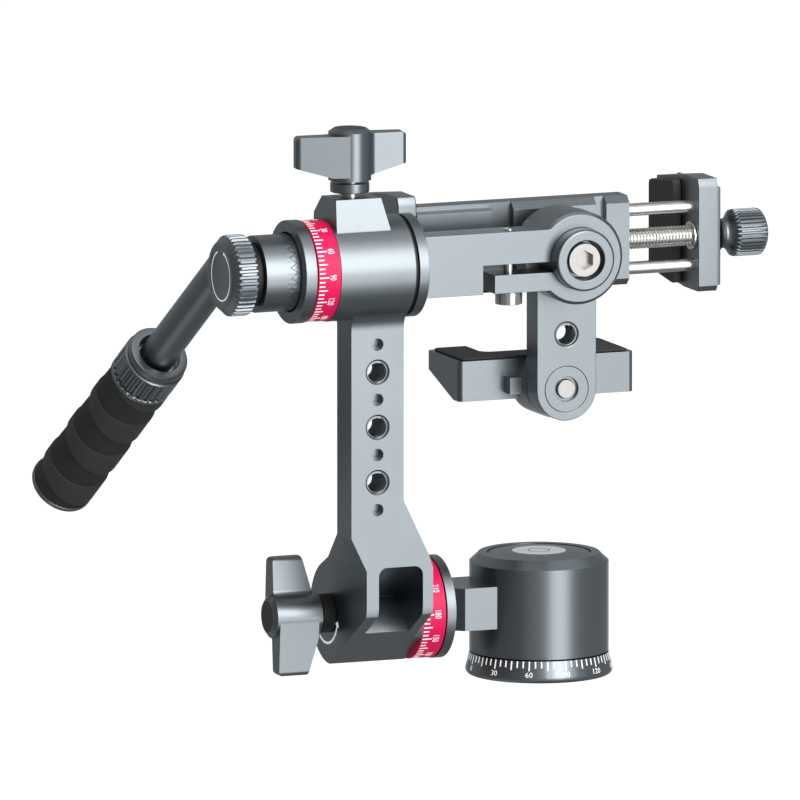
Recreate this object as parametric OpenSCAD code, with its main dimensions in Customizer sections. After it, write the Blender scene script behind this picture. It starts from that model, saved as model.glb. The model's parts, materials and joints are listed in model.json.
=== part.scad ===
// Phone gimbal head: a pan base, an upright arm with two tilt axes, a bent
// handle and a screw-driven phone clamp on a swivelling spindle.
// Origin: middle of the tripod face. X runs along both tilt axes, Z is up and
// +Y points to the person who holds the handle.

/* [Pan base] */
// Radius of the turning housing
pan_r = 19.95; // [18:0.05:24]
// Largest radius of the scale ring at the foot
scale_r = 21.1; // [20.5:0.1:26]
// Radius of the flat tripod face
foot_r = 19.5; // [15:0.1:20]
// Height of the scale ring
scale_h = 6.4; // [5:0.1:9]
// Height of the top face above the tripod face
pan_top = 35; // [30:0.1:42]
// Height of the top bevel
pan_bevel_h = 2.5; // [1:0.1:5]
// Radius at the top of the bevel
pan_rim_r = 17.3; // [16:0.1:17.5]
// Radius of the round cap that holds the level
cap_r = 14.9; // [13:0.1:15.5]
// Radius of the round level
vial_r = 7.67; // [5:0.01:9]
// Radius of the tripod thread, 1/4 inch with 20 turns to the inch
tripod_thread_r = 3.175; // [3:0.005:4.8]
// Depth of the tripod thread
tripod_thread_depth = 9; // [6:0.5:12]

/* [Lower tilt] */
// Height of the lower tilt axis
tilt_z = 21.2; // [19:0.1:24]
// Radius of the tilt flanges and barrels
barrel_r = 14.75; // [14:0.05:16]
// Radius of the red scale rings
ring_r = 14.5; // [13.5:0.05:14.7]
// Width of the red scale rings
ring_w = 6.9; // [5:0.1:8]
// Thickness of the lower flange
flange_t = 2.7; // [2:0.1:4]
// Half width of the neck between housing and flange
neck_half = 10.3; // [7:0.1:12]
// Height of the neck
neck_h = 12.2; // [8:0.1:14]

/* [Arm] */
// Front face of the arm
arm_front = -28.6; // [-32:0.1:-26]
// Thickness of the arm, front to back
arm_t = 11; // [8:0.1:14]
// Left side of the arm
arm_x = -69.2; // [-71:0.1:-67]
// Width of the arm
arm_w = 16; // [14:0.1:18]
// Left side of the yoke at the foot of the arm
yoke_x = -64.5; // [-66:0.1:-62]
// Width of the yoke's front plate
yoke_w = 20.3; // [18:0.1:21]
// Width of the yoke's round shoulder, beside the scale ring
yoke_shoulder = 2.9; // [1.5:0.1:4]
// Height of the upper tilt axis
cradle_z = 124; // [118:0.5:130]
// Distance from one large hole to the next
hole_pitch = 15.86; // [14:0.01:18]
// Height of the middle large hole
hole_z = 78.7; // [76:0.1:80]
// Radius of the accessory threads, 1/4 inch with 20 turns to the inch
accessory_thread_r = 3.175; // [3:0.005:3.5]
// Radius of the small blind holes
pin_hole_r = 1.78; // [1.2:0.01:2.5]
// Width of the window in the yoke
window_w = 13.5; // [10:0.1:15]

/* [Upper tilt] */
// Length of the barrel
barrel_l = 22.7; // [20:0.1:26]
// Place of the barrel's right end
barrel_x = -53.1; // [-54:0.1:-52]
// Radius of the tilt shaft
shaft_r = 6.5; // [5:0.1:7]
// Thickness of the left flange
left_flange_t = 3.7; // [3:0.1:5]
// Thickness of the right flange
right_flange_t = 3; // [2:0.1:4]
// Top of the boss that takes the locking screw
boss_top = 144.9; // [142:0.1:148]

/* [Rosette and handle] */
// Number of teeth round each rosette
teeth = 24; // [12:12:36]
// Outer radius of the rosettes
rosette_r = 11; // [9:0.1:12]
// Half height of a tooth at the outer radius
tooth_half = 1; // [0.5:0.05:1.5]
// Radius of the handle's locking knob
lock_knob_r = 11.6; // [10:0.1:13]
// Width of the handle's locking knob
lock_knob_w = 7.7; // [6:0.1:10]
// Number of ridges round the locking knob
lock_ridges = 40; // [20:1:60]
// Radius of the handle rod
rod_r = 5.15; // [4:0.05:6]
// Distance from the tilt axis back to the rod's bend
bend_reach = 26.45; // [22:0.05:32]
// Length of rod from the bend to the grip
rod_l = 48.8; // [40:0.1:70]
// Length of collar, grip and end cap together
grip_l = 70; // [50:0.5:110]
// Radius of the grip
grip_r = 9.35; // [8:0.05:11]
// Length of the twist collar
collar_l = 13.5; // [10:0.1:18]

/* [Wing knobs] */
// Distance from the axis to the tip of a wing
wing_l = 16.8; // [14:0.1:22]
// Radius of the hub
hub_r = 6.15; // [5:0.05:7]
// Height of the hub
hub_h = 13.8; // [11:0.1:16]
// Thickness of a wing at its tip
wing_tip_t = 5; // [4:0.1:6]
// Thickness of a wing at the hub's axis
wing_root_t = 7.1; // [6:0.1:8]
// Radius of the locking screws, metric 6
lock_screw_r = 3; // [2.5:0.1:3.2]

/* [Swivel and link] */
// Front face of the front arm
front_y = -30.6; // [-32:0.1:-29]
// Depth of the front arm and its ring
front_t = 9.3; // [8:0.1:9.6]
// Height of the front arm
front_h = 17.6; // [14:0.1:20]
// Radius of the pinch ring
pinch_ring_r = 13.4; // [12:0.1:15]
// Radius of the spindle
spindle_r = 8.9; // [7:0.1:9.5]
// How far the spindle stands proud of the ring
spindle_proud = 4.7; // [2:0.1:8]
// Thickness of the link
link_t = 8.2; // [6:0.1:8.6]
// Half width of the link
link_half = 9.1; // [8:0.1:9.3]
// Radius of the link's round head
link_head_r = 13; // [11:0.1:14]
// Distance from the spindle down to the shelf's pin
link_l = 39.1; // [34:0.1:39.2]
// Distance from the spindle down to the link's thread
link_thread_drop = 23.3; // [21:0.1:25]
// Radius of the shelf's pin
shelf_pin_r = 2.7; // [2:0.1:3.5]

/* [Phone clamp] */
// Front face of the rail
rail_y = -7.2; // [-7.8:0.1:-6.8]
// Depth of the rail, front to back
rail_t = 10.5; // [9:0.1:14]
// Height of the rail above the spindle's axis
rail_up = 13.3; // [10.5:0.1:14]
// Height of the rail below the spindle's axis
rail_down = 12.5; // [10.5:0.1:13]
// Right end of the rail
rail_end = 24.9; // [22:0.1:30]
// Inner face of the fixed jaw
fixed_face = -40.5; // [-41:0.1:-38]
// Inner face of the moving jaw at rest
moving_face = 46.3; // [46.3:0.1:60]
// Thickness of a jaw
jaw_t = 5.9; // [4:0.1:6.2]
// Back edge of the jaws
jaw_back = 24.5; // [18:0.1:32]
// Height of a jaw above the spindle's axis
jaw_half = 16.8; // [15:0.1:18]
// Height of a jaw below the spindle's axis
jaw_foot_half = 15.8; // [15:0.1:17]
// Thickness of the rubber pads
pad_t = 2.7; // [1.5:0.1:4]
// Radius of the guide rods
guide_r = 1.85; // [1.5:0.05:2.5]
// Distance from the lead screw to each guide rod
guide_pitch = 8.4; // [7:0.1:9]
// Radius of the lead screw, metric 6
lead_r = 3; // [2.5:0.1:3.5]
// Radius of the clamp knob
clamp_knob_r = 6.8; // [5.5:0.1:9]
// Number of ridges round the clamp knob
clamp_ridges = 32; // [16:1:48]

/* [Phone shelf] */
// Half length of the shelf
shelf_half = 26.9; // [22:0.1:27]
// Front face of the shelf
shelf_front = -5.6; // [-6:0.1:-5]
// Depth of the shelf
shelf_t = 24.4; // [20:0.1:28]
// Height of the shelf's front
shelf_h = 11.6; // [10:0.1:12.4]
// Top of the shelf above its pin
shelf_rise = 7.2; // [6:0.1:7.9]
// Half width of the notch in the shelf's back edge
notch_half = 14; // [10:0.1:16]
// Thickness of the shelf's rubber pad
shelf_pad_t = 0.7; // [0.5:0.1:1.4]

/* [Hidden] */
$fn = 96;
// Clearance of a running fit, on the radius
fit = 0.05;
// Gap between pieces that pass each other
gap = 0.3;
// Overrun of cuts
over = 1;

// Pan base
scale_fillet = 1.5;
flare_z = 1.7;
seam = 0.4;
post_r = 8;
post_top = 16;
bush_wall = 1.6;
bush_top = 15.6;
tripod_bush_r = 5;
retainer_r = 10.5;
retainer_t = 1.8;
small_screw_r = 2;
small_head_r = 3.5;
small_head_h = 1.6;
small_screw_l = 5;
cavity_r = 11.5;
cap_seat = 32.2;
cap_groove = 0.6;
cap_bevel = 0.4;
cap_rise = 0.4;
cap_top = pan_top + cap_rise;
vial_t = 2.4;
vial_groove_r = 2.9;
vial_groove_w = 0.25;
neck_foot_half = 6.5;
housing_wall = 5;

// Lower tilt
yoke_end_x = yoke_x + yoke_w + yoke_shoulder;
lower_ring_x = yoke_end_x;
flange_x = lower_ring_x + ring_w + gap + flange_t;
neck_flare_l = 4.5;
neck_knee_x = flange_x + neck_flare_l;
tilt_shaft_r = 4;
tilt_bush_wall = 1.4;
tilt_shaft_x = flange_x + 3;
spigot_wall = 2.1;
foot_bevel_t = 0.5;
foot_bevel_h = 2.4;
slant_y = arm_front + foot_bevel_t;
slant_z = tilt_z + 2.8;
arm_knee_z = 47;
arm_slope_z = 37.3;
plate_knee_z = 57.2;
plate_slope_z = 41.2;
plate_edge_w = 1.3;
window_x = yoke_x + 3.7;
window_top = 38.1;
window_r = 2.6;
window_back_y = -6.7;
window_back_z = tilt_z + 4.9;
floor_web = 2.35;
floor_r = barrel_r + 2.95;
floor_y = -2.85;
floor_z = tilt_z - barrel_r + floor_web;
knob_gap = 0.5;
spacer_r = 5.6;
spacer_t = 2.8;
spacer_gap = 1;
knob_spacer_x = yoke_x - spacer_gap;

// Arm
arm_mid_y = arm_front + arm_t / 2;
barrel_y = arm_mid_y;
arm_mid_x = arm_x + arm_w / 2;
pin_hole_depth = 3;
thread_rim = 0.5;
arm_fillet_l = 2.75;
arm_fillet_rise = barrel_r + arm_fillet_l;
arm_fillet_num = pow(arm_t / 2, 2) + pow(arm_fillet_rise, 2) - pow(barrel_r, 2);
arm_fillet_r = arm_fillet_num / (2 * (barrel_r - arm_t / 2));
boss_x = -75.3;
boss_w = 14.2;
boss_foot_w = 16.6;
boss_foot_drop = 2.75;
boss_foot_z = cradle_z + barrel_r - boss_foot_drop;
boss_front_in = 5.65;
boss_front = barrel_y - barrel_r + boss_front_in;
boss_lean = 1.2;
boss_back = barrel_y + 8.8;
boss_back_flat = barrel_y + 3;
boss_back_z = boss_top - 5.4;
lock_x = -67.5;

// Upper tilt
barrel_left = barrel_x - barrel_l;
upper_ring_x = barrel_left - ring_w;
bush_r = shaft_r + 1.8;
left_bush_l = 5;
right_bush_l = 7;
bush_inset = 0.3;
brake_r = 2.9;
brake_l = 3.4;
left_flange_x = upper_ring_x - gap - left_flange_t;
rosette_slack = 0.35;
flange_recess_r = rosette_r + rosette_slack;
flange_recess = 1.9;
right_flange_x = barrel_x + 1.2;
seam_washer_in = 0.85;
seam_washer_r = barrel_r - seam_washer_in;
seam_slack = 0.15;

// Rosette and handle
mesh_x = left_flange_x - 2;
mesh_gap = 0.25;
tooth_in_r = 7.6;
stub_r = 5;
stub_x = -97.9;
handle_barrel_w = 6.5;
handle_ring_w = 1.9;
handle_left = mesh_x - handle_ring_w - handle_barrel_w;
handle_mid_x = handle_left + handle_barrel_w / 2;
lock_spacer_r = 9;
lock_spacer_t = 1.8;
lock_knob_x = handle_left - gap - lock_spacer_t - gap - lock_knob_w;
lock_bevel = 1.9;
lock_bevel_drop = 1.7;
lock_recess = 0.3;
lock_ring_r = 7.7;
knurl_depth = 0.55;
nut_wall = 2;
rod_dir = [-0.14, 0.75, -0.65];
rod_yaw = atan2(-rod_dir[0], rod_dir[1]);
rod_pitch = atan2(norm([rod_dir[0], rod_dir[1]]), rod_dir[2]);
bend = [handle_mid_x, barrel_y + bend_reach, cradle_z];
tenon_r = 2.6;
tenon_end = 1;
bend_swell = 0.12;
collar_mouth_r = rod_r + 1.1;
collar_ring_l = 1.6;
collar_ring_r = 8.9;
collar_knurl_depth = 0.5;
collar_ridges = 26;
end_cap_l = 1.8;
sleeve_r = rod_r + 1.4;
rod_in_grip = 34;
nose_set_back = 3.5;
grip_pitch = 16.4;
grip_recess_l = 8.8;
grip_recess = 0.6;
grip_lead = 1.4;
grip_edge = 0.5;

// Wing knobs
wing_foot = 4.2;
wing_root_foot = 1.2;
wing_drop = 0.7;
wing_corner = 1.5;
wing_fillet = 2;
wing_face_in = 0.05;
cap_lip = 0.25;
cap_rim_r = 4.5;
cap_h = 1;
cap_seat_h = 1.2;
neck_screw_r = 2.75;
lock_nut_r = 4.6;
upper_knob_z = boss_top + 4.6;
upper_spacer_z = boss_top + 1.1;
upper_knob_turn = -8;

// Swivel and link
front_back = front_y + front_t;
link_front = front_back + gap + 0.2;
link_back = link_front + link_t;
ring_bevel = 0.9;
slot_z = cradle_z - 3.5;
slot_h = 3;
slot_x = -29.6;
leg_end = -26.1;
arm_shoulder = -11;
pinch_x = -20;
pinch_y = front_y + front_t / 2;
pinch_r = 1.6;
pinch_head_r = 3.9;
pinch_head_h = 3.6;
spindle_bore_r = 5.7;
spindle_head_r = 4.7;
spindle_head_h = 5;
spindle_recess = 1;
spindle_bevel = 0.5;
spindle_neck_r = 6;
spindle_screw_r = 3;
hex_share = 0.62;
hex_depth = 2.6;
rail_hub_r = 10;
rail_hub_wall = 1.6;
pivot_washer_r = 6.6;
pivot_hole_r = 3.6;
pivot_washer_t = 1.2;

// Phone clamp
rail_bevel = 2;
lead_y = rail_y + 5;
rail_notch = 2.4;
notch_1 = [-17.4, -10.8];
notch_2 = [14.7, 17.8];
slope_drop = 1.2;
slope_t = 6;
jaw_front_half = 14.2;
jaw_front_in = 1.07;
jaw_back_half = 13.7;
jaw_back_in = 3.8;
pad_front = 5.6;
pad_half = 15;
pad_back_half = 13;
pad_round = 1.6;
arc_steps = 8;
end_plate_t = 1.1;
end_plate_in = 0.8;
close_travel = 20;
guide_in = 20;
lead_in = 24;
nut_l = 9;
lead_nut_r = 4.2;
washer_r = 4.1;
washer_t = 0.8;
clamp_neck_l = 4.7;
clamp_knob_l = 9.5;
clamp_neck_r = 4.2;
clamp_foot_r = 5.4;
clamp_x = moving_face + jaw_t + end_plate_t + gap;
clamp_knob_x = clamp_x + clamp_neck_l;
lead_end_in = 3;

// Phone shelf
shelf_pin_z = cradle_z - link_l;
shelf_top = shelf_pin_z + shelf_rise;
shelf_back = shelf_front + shelf_t;
shelf_lip_h = 5;
shelf_flat = 4.5;
notch_depth = 12.4;
notch_r = 3;
shelf_hub_r = 9.4;
shelf_pad_in = 1.3;
lug_in = 7.5;
lug_w = 5.5;
lug_half = 2.45;
lug_t = 4.4;
shelf_round = 1.5;

function arc(c, r, from, to) =
  [for (i = [0 : arc_steps]) let (a = from + (to - from) * i / arc_steps) c + r * [cos(a), sin(a)]];
function on_circle(y, z, r, a) = [y + r * cos(a), z + r * sin(a)];
function tangent_angle(p, c, r, side) =
  atan2(p[1] - c[1], p[0] - c[0]) + side * acos(r / norm(p - c));

module titanium() color([0.42, 0.46, 0.48]) children();
module dark_metal() color([0.26, 0.28, 0.30]) children();
module red_ring() color([0.93, 0.08, 0.36]) children();
module steel() color([0.83, 0.82, 0.80]) children();
module rubber() color([0.16, 0.16, 0.16]) children();
module plastic() color([0.10, 0.10, 0.11]) children();

// Local Z to the part's X, local Y stays
module at_x(x, y, z) translate([x, y, z]) rotate([0, 90, 0]) children();
// Local Z to the part's Y, local X stays
module at_y(x, y, z) translate([x, y, z]) rotate([-90, 0, 0]) children();
module x_rod(x0, x1, r, y, z) at_x(x0, y, z) cylinder(r = r, h = x1 - x0);
module y_rod(y0, y1, r, x, z) at_y(x, y0, z) cylinder(r = r, h = y1 - y0);
module tube(r_out, r_in, h) {
  difference() {
    cylinder(r = r_out, h = h);
    translate([0, 0, -over]) cylinder(r = r_in, h = h + 2 * over);
  }
}
// A side outline in Y and Z, carried from x0 to x1
module along_x(x0, x1) {
  translate([x0, 0, 0]) rotate([90, 0, 90]) linear_extrude(height = x1 - x0) children();
}
// A front outline in X and Z, carried from y0 to y1
module along_y(y0, y1) {
  translate([0, y1, 0]) rotate([90, 0, 0]) linear_extrude(height = y1 - y0) children();
}
module rounded(w, h, r) {
  union() {
    translate([r, 0]) square([w - 2 * r, h]);
    translate([0, r]) square([w, h - 2 * r]);
    for (x = [r, w - r], y = [r, h - r]) translate([x, y]) circle(r = r);
  }
}
module knurl(r, depth, n) {
  polygon([for (i = [0 : 4 * n - 1])
    let (low = floor(i / 2) % 2, turn = (i + (low ? 0.2 : -0.2) * (i % 2 ? -1 : 1)) * 90 / n)
    (r - depth * low) * [cos(turn), sin(turn)]]);
}

module pan_base() dark_metal() difference() {
  rotate_extrude() polygon(concat(
    [[0, 0]],
    [for (a = [-90 : 15 : 0])
      [scale_r - scale_fillet + scale_fillet * cos(a), scale_fillet + scale_fillet * sin(a)]],
    [[scale_r, flare_z], [pan_r, scale_h], [post_r, scale_h], [post_r, post_top], [0, post_top]]
  ));
  translate([0, 0, -over]) cylinder(r = tripod_bush_r, h = tripod_thread_depth + over);
  translate([0, 0, post_top - small_screw_l]) cylinder(r = small_screw_r, h = small_screw_l + over);
}
module tripod_bush() steel() tube(tripod_bush_r, tripod_thread_r, tripod_thread_depth);
module pan_retainer() steel() translate([0, 0, post_top]) {
  tube(retainer_r, small_screw_r, retainer_t);
}
module retainer_screw() steel() translate([0, 0, post_top - small_screw_l]) {
  cylinder(r = small_screw_r, h = small_screw_l + retainer_t);
  translate([0, 0, small_screw_l + retainer_t]) cylinder(r = small_head_r, h = small_head_h);
}

module neck_outline() {
  polygon([
    [flange_x - over, -neck_foot_half], [flange_x, -neck_foot_half], [neck_knee_x, -neck_half],
    [-housing_wall, -neck_half], [-housing_wall, neck_half],
    [neck_knee_x, neck_half], [flange_x, neck_foot_half], [flange_x - over, neck_foot_half]
  ]);
}
module pan_housing() titanium() difference() {
  union() {
    rotate_extrude() polygon([
      [0, scale_h + seam], [pan_r, scale_h + seam], [pan_r, pan_top - pan_bevel_h],
      [pan_rim_r, pan_top], [0, pan_top]
    ]);
    translate([0, 0, tilt_z - neck_h / 2]) linear_extrude(height = neck_h) neck_outline();
    x_rod(flange_x - flange_t, flange_x, barrel_r, 0, tilt_z);
  }
  translate([0, 0, scale_h]) cylinder(r = post_r + fit + bush_wall, h = bush_top - scale_h);
  translate([0, 0, bush_top]) cylinder(r = cavity_r, h = pan_top);
  translate([0, 0, cap_seat]) cylinder(r = cap_r, h = pan_top);
  x_rod(flange_x - flange_t - over, tilt_shaft_x, tilt_shaft_r, 0, tilt_z);
}
module pan_bush() plastic() translate([0, 0, scale_h + seam]) {
  tube(post_r + fit + bush_wall, post_r + fit, bush_top - scale_h - seam);
}
module level_cap() dark_metal() difference() {
  rotate_extrude() polygon([
    [0, cap_seat], [cap_r, cap_seat], [cap_r, pan_top - cap_groove],
    [cap_r - cap_bevel, pan_top - cap_groove + cap_bevel], [vial_r + cap_groove, cap_top], [0, cap_top]
  ]);
  translate([0, 0, cap_top - vial_t]) cylinder(r = vial_r, h = vial_t + over);
}
module level_vial() color([0.78, 0.8, 0.78]) difference() {
  translate([0, 0, cap_top - vial_t]) cylinder(r = vial_r, h = vial_t);
  translate([0, 0, cap_top - vial_groove_w]) {
    tube(vial_groove_r + vial_groove_w, vial_groove_r, vial_groove_w + over);
  }
}
module lower_tilt_shaft() steel() {
  x_rod(knob_spacer_x, tilt_shaft_x, tilt_shaft_r, 0, tilt_z);
  x_rod(knob_spacer_x - spacer_t - hub_h + cap_seat_h + 2 * gap, knob_spacer_x + over,
    lock_screw_r, 0, tilt_z);
}

// Side outline of the arm and yoke: front plate, slanted foot, round back
module arm_side() {
  c = [0, tilt_z];
  back = [arm_front + arm_t, arm_knee_z];
  a_back = tangent_angle(back, c, barrel_r, -1);
  difference() {
    union() {
      polygon([
        [arm_front, cradle_z], [arm_front, slant_z + foot_bevel_h], [slant_y, slant_z],
        [0, tilt_z - barrel_r],
        [0, tilt_z], on_circle(0, tilt_z, barrel_r, a_back), back, [arm_front + arm_t, cradle_z]
      ]);
      translate(c) circle(r = barrel_r);
    }
    polygon([
      [arm_front - over, slant_z], [slant_y, slant_z], [0, tilt_z - barrel_r],
      [0, -over], [arm_front - over, -over]
    ]);
  }
}
// Front outline of the arm and yoke
module arm_outline() {
  polygon([
    [arm_x, cradle_z], [arm_x, arm_knee_z], [yoke_x, arm_slope_z], [yoke_x, 0],
    [yoke_x + yoke_w, 0], [yoke_x + yoke_w, arm_slope_z],
    [yoke_x + yoke_w - plate_edge_w, plate_slope_z],
    [arm_x + arm_w, plate_knee_z], [arm_x + arm_w, cradle_z]
  ]);
}
module window_side() {
  difference() {
    polygon([
      [arm_front - over, window_top + over], [arm_front, window_top],
      [window_back_y, window_back_z], [window_back_y, floor_z], [arm_front - over, floor_z]
    ]);
    translate([floor_y, floor_z]) circle(r = floor_r);
  }
}
module boss_outline() {
  polygon([
    [boss_x, cradle_z], [boss_x + plate_edge_w / 3, boss_top],
    [boss_x + boss_w, boss_top], [boss_x + boss_foot_w, boss_foot_z],
    [boss_x + boss_foot_w, cradle_z]
  ]);
}
module boss_side() {
  polygon([
    [boss_front, cradle_z], [boss_front, boss_foot_z], [boss_front + boss_lean, boss_top],
    [boss_back_flat, boss_top],
    [boss_back, boss_back_z], [boss_back, cradle_z]
  ]);
}
module arm_fillets() {
  foot = [arm_t / 2, -arm_fillet_rise];
  c = [arm_t / 2 + arm_fillet_r, -arm_fillet_rise];
  touch = (barrel_r - gap) / norm(c) * c;
  translate([barrel_y, cradle_z]) for (side = [-1, 1]) difference() {
    polygon([[0, 0], [side * touch[0], touch[1]], [side * foot[0], foot[1]], [0, foot[1]]]);
    translate([side * c[0], c[1]]) circle(r = arm_fillet_r);
  }
}
module arm() titanium() difference() {
  union() {
    intersection() {
      along_x(arm_x - over, yoke_x + yoke_w) arm_side();
      along_y(arm_front - over, barrel_r + over) arm_outline();
    }
    intersection() {
      along_x(yoke_x + yoke_w, yoke_end_x) arm_side();
      x_rod(yoke_x + yoke_w, yoke_end_x, barrel_r, 0, tilt_z);
    }
    x_rod(yoke_end_x, yoke_end_x + ring_w, ring_r - spigot_wall, 0, tilt_z);
    x_rod(barrel_left, barrel_x, barrel_r, barrel_y, cradle_z);
    x_rod(upper_ring_x, barrel_left, ring_r - spigot_wall, barrel_y, cradle_z);
    intersection() {
      along_y(boss_front, boss_back) boss_outline();
      along_x(boss_x - over, boss_x + boss_foot_w + over) boss_side();
    }
    along_x(arm_x, arm_x + arm_w) arm_fillets();
  }
  x_rod(upper_ring_x - over, barrel_x + over, bush_r, barrel_y, cradle_z);
  x_rod(yoke_x - over, yoke_end_x + ring_w + over, tilt_shaft_r + fit + tilt_bush_wall, 0, tilt_z);
  translate([lock_x, barrel_y, cradle_z]) cylinder(r = lock_screw_r + fit, h = boss_top);
  for (i = [-1 : 1]) {
    y_rod(arm_front - over, arm_front + arm_t + over, accessory_thread_r,
      arm_mid_x, hole_z + i * hole_pitch);
    at_y(arm_mid_x, arm_front - thread_rim, hole_z + i * hole_pitch)
      cylinder(r1 = accessory_thread_r + 2 * thread_rim, r2 = accessory_thread_r,
        h = 2 * thread_rim);
  }
  for (i = [-1.5 : 1 : 1.5]) {
    y_rod(arm_front - over, arm_front + pin_hole_depth, pin_hole_r,
      arm_mid_x, hole_z + i * hole_pitch);
  }
  intersection() {
    along_x(window_x, window_x + window_w) window_side();
    along_y(arm_front - over, barrel_r) translate([window_x, 0])
      rounded(window_w, window_top, window_r);
  }
}
module scale_ring(x, y, z) at_x(x, y, z) tube(ring_r, ring_r - spigot_wall, ring_w);
module lower_scale_ring() red_ring() scale_ring(lower_ring_x, 0, tilt_z);
module upper_scale_ring() red_ring() scale_ring(upper_ring_x, barrel_y, cradle_z);
module lower_tilt_bush() plastic() at_x(yoke_x, 0, tilt_z) {
  tube(tilt_shaft_r + fit + tilt_bush_wall, tilt_shaft_r + fit, yoke_end_x + ring_w - yoke_x);
}
module left_tilt_bush() plastic() at_x(upper_ring_x + bush_inset, barrel_y, cradle_z) {
  tube(bush_r, shaft_r + fit, left_bush_l);
}
module right_tilt_bush() plastic() at_x(barrel_x - bush_inset - right_bush_l, barrel_y, cradle_z) {
  tube(bush_r, shaft_r + fit, right_bush_l);
}
module brake_pad() color([0.85, 0.84, 0.78]) {
  translate([lock_x, barrel_y, cradle_z + shaft_r + 2 * fit]) cylinder(r = brake_r, h = brake_l);
}

// A two-wing knob on local Z: hub, two tapering wings, a seat for its cap
module wing_outline() {
  top = hub_h - wing_drop;
  corner = arc([wing_l - wing_corner, top - wing_corner], wing_corner, 0, 90);
  n = len(corner);
  polygon(concat(
    [[-hub_r, wing_root_foot], [hub_r, wing_root_foot], [wing_l, wing_foot]], corner,
    [for (i = [n - 1 : -1 : 0]) [-corner[i][0], corner[i][1]]], [[-wing_l, wing_foot]]
  ));
}
// Each wing has one face flush with the hub's side and the other set back, with a fillet
module wing_plan() {
  outer = hub_r - wing_face_in;
  taper = (wing_root_t - wing_tip_t) / 2;
  lean = atan2(taper, wing_l);
  inner = outer - wing_root_t;
  tip = outer - taper;
  e = wing_corner;
  f = wing_fillet;
  reach = sqrt(pow(hub_r + f, 2) - pow(f - inner, 2));
  c = [reach, inner + reach * tan(lean) - f / cos(lean)];
  for (a = [0, 180]) rotate(a) polygon(concat(
    [[0, 0], [0, outer]],
    arc([wing_l - e, tip - e], e, 90 - lean, 0), arc([wing_l - e, tip - wing_tip_t + e], e, 0, lean - 90),
    arc(c, f, 90 + lean, atan2(-c[1], -c[0]))
  ));
}
module wing_body(bore) {
  difference() {
    union() {
      cylinder(r = hub_r, h = hub_h);
      translate([0, 0, hub_h]) cylinder(r1 = hub_r, r2 = cap_rim_r + cap_lip, h = cap_h);
      intersection() {
        linear_extrude(height = hub_h) wing_plan();
        along_y(-hub_r, hub_r) wing_outline();
      }
    }
    translate([0, 0, -over]) cylinder(r = bore, h = hub_h + over - cap_seat_h);
    translate([0, 0, hub_h - cap_seat_h]) cylinder(r = cap_rim_r, h = cap_seat_h + cap_h + over);
  }
}
module knob_cap() cylinder(r = cap_rim_r, h = cap_seat_h + cap_h);
// Where the lower knob stands: local Z points away from the yoke, wings upright
module at_lower_knob() {
  translate([knob_spacer_x - spacer_t - knob_gap, 0, tilt_z]) rotate([0, -90, 0]) children();
}
module at_upper_knob() {
  translate([lock_x, barrel_y, upper_knob_z]) rotate([0, 0, upper_knob_turn]) children();
}
module lower_wing_knob() titanium() at_lower_knob() wing_body(lock_nut_r);
module lower_knob_cap() plastic() at_lower_knob() translate([0, 0, hub_h - cap_seat_h]) knob_cap();
module lower_knob_nut() steel() at_lower_knob() {
  tube(lock_nut_r, lock_screw_r + fit, hub_h - cap_seat_h);
}
module lower_knob_spacer() plastic() at_x(knob_spacer_x - spacer_t, 0, tilt_z) {
  tube(spacer_r, tilt_shaft_r + fit, spacer_t + spacer_gap);
}
module upper_wing_knob() titanium() at_upper_knob() wing_body(lock_screw_r);
module upper_knob_cap() plastic() at_upper_knob() translate([0, 0, hub_h - cap_seat_h]) knob_cap();
module upper_knob_screw() steel() {
  foot = cradle_z + shaft_r + 3 * fit + brake_l;
  translate([lock_x, barrel_y, foot]) cylinder(r = lock_screw_r, h = boss_top - foot);
  translate([lock_x, barrel_y, boss_top])
    cylinder(r = neck_screw_r, h = upper_spacer_z + spacer_t - boss_top);
  translate([lock_x, barrel_y, upper_spacer_z + spacer_t])
    cylinder(r = lock_screw_r, h = upper_knob_z - upper_spacer_z - spacer_t + hub_h - cap_seat_h);
}
module upper_knob_spacer() dark_metal() translate([lock_x, barrel_y, upper_spacer_z]) {
  tube(spacer_r, neck_screw_r, spacer_t);
}

module tilt_shaft() steel() {
  x_rod(left_flange_x + flange_recess, right_flange_x + right_flange_t, shaft_r, barrel_y, cradle_z);
  x_rod(stub_x, left_flange_x + flange_recess, stub_r, barrel_y, cradle_z);
  x_rod(lock_knob_x + lock_bevel + gap, stub_x, lock_screw_r, barrel_y, cradle_z);
}
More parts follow.
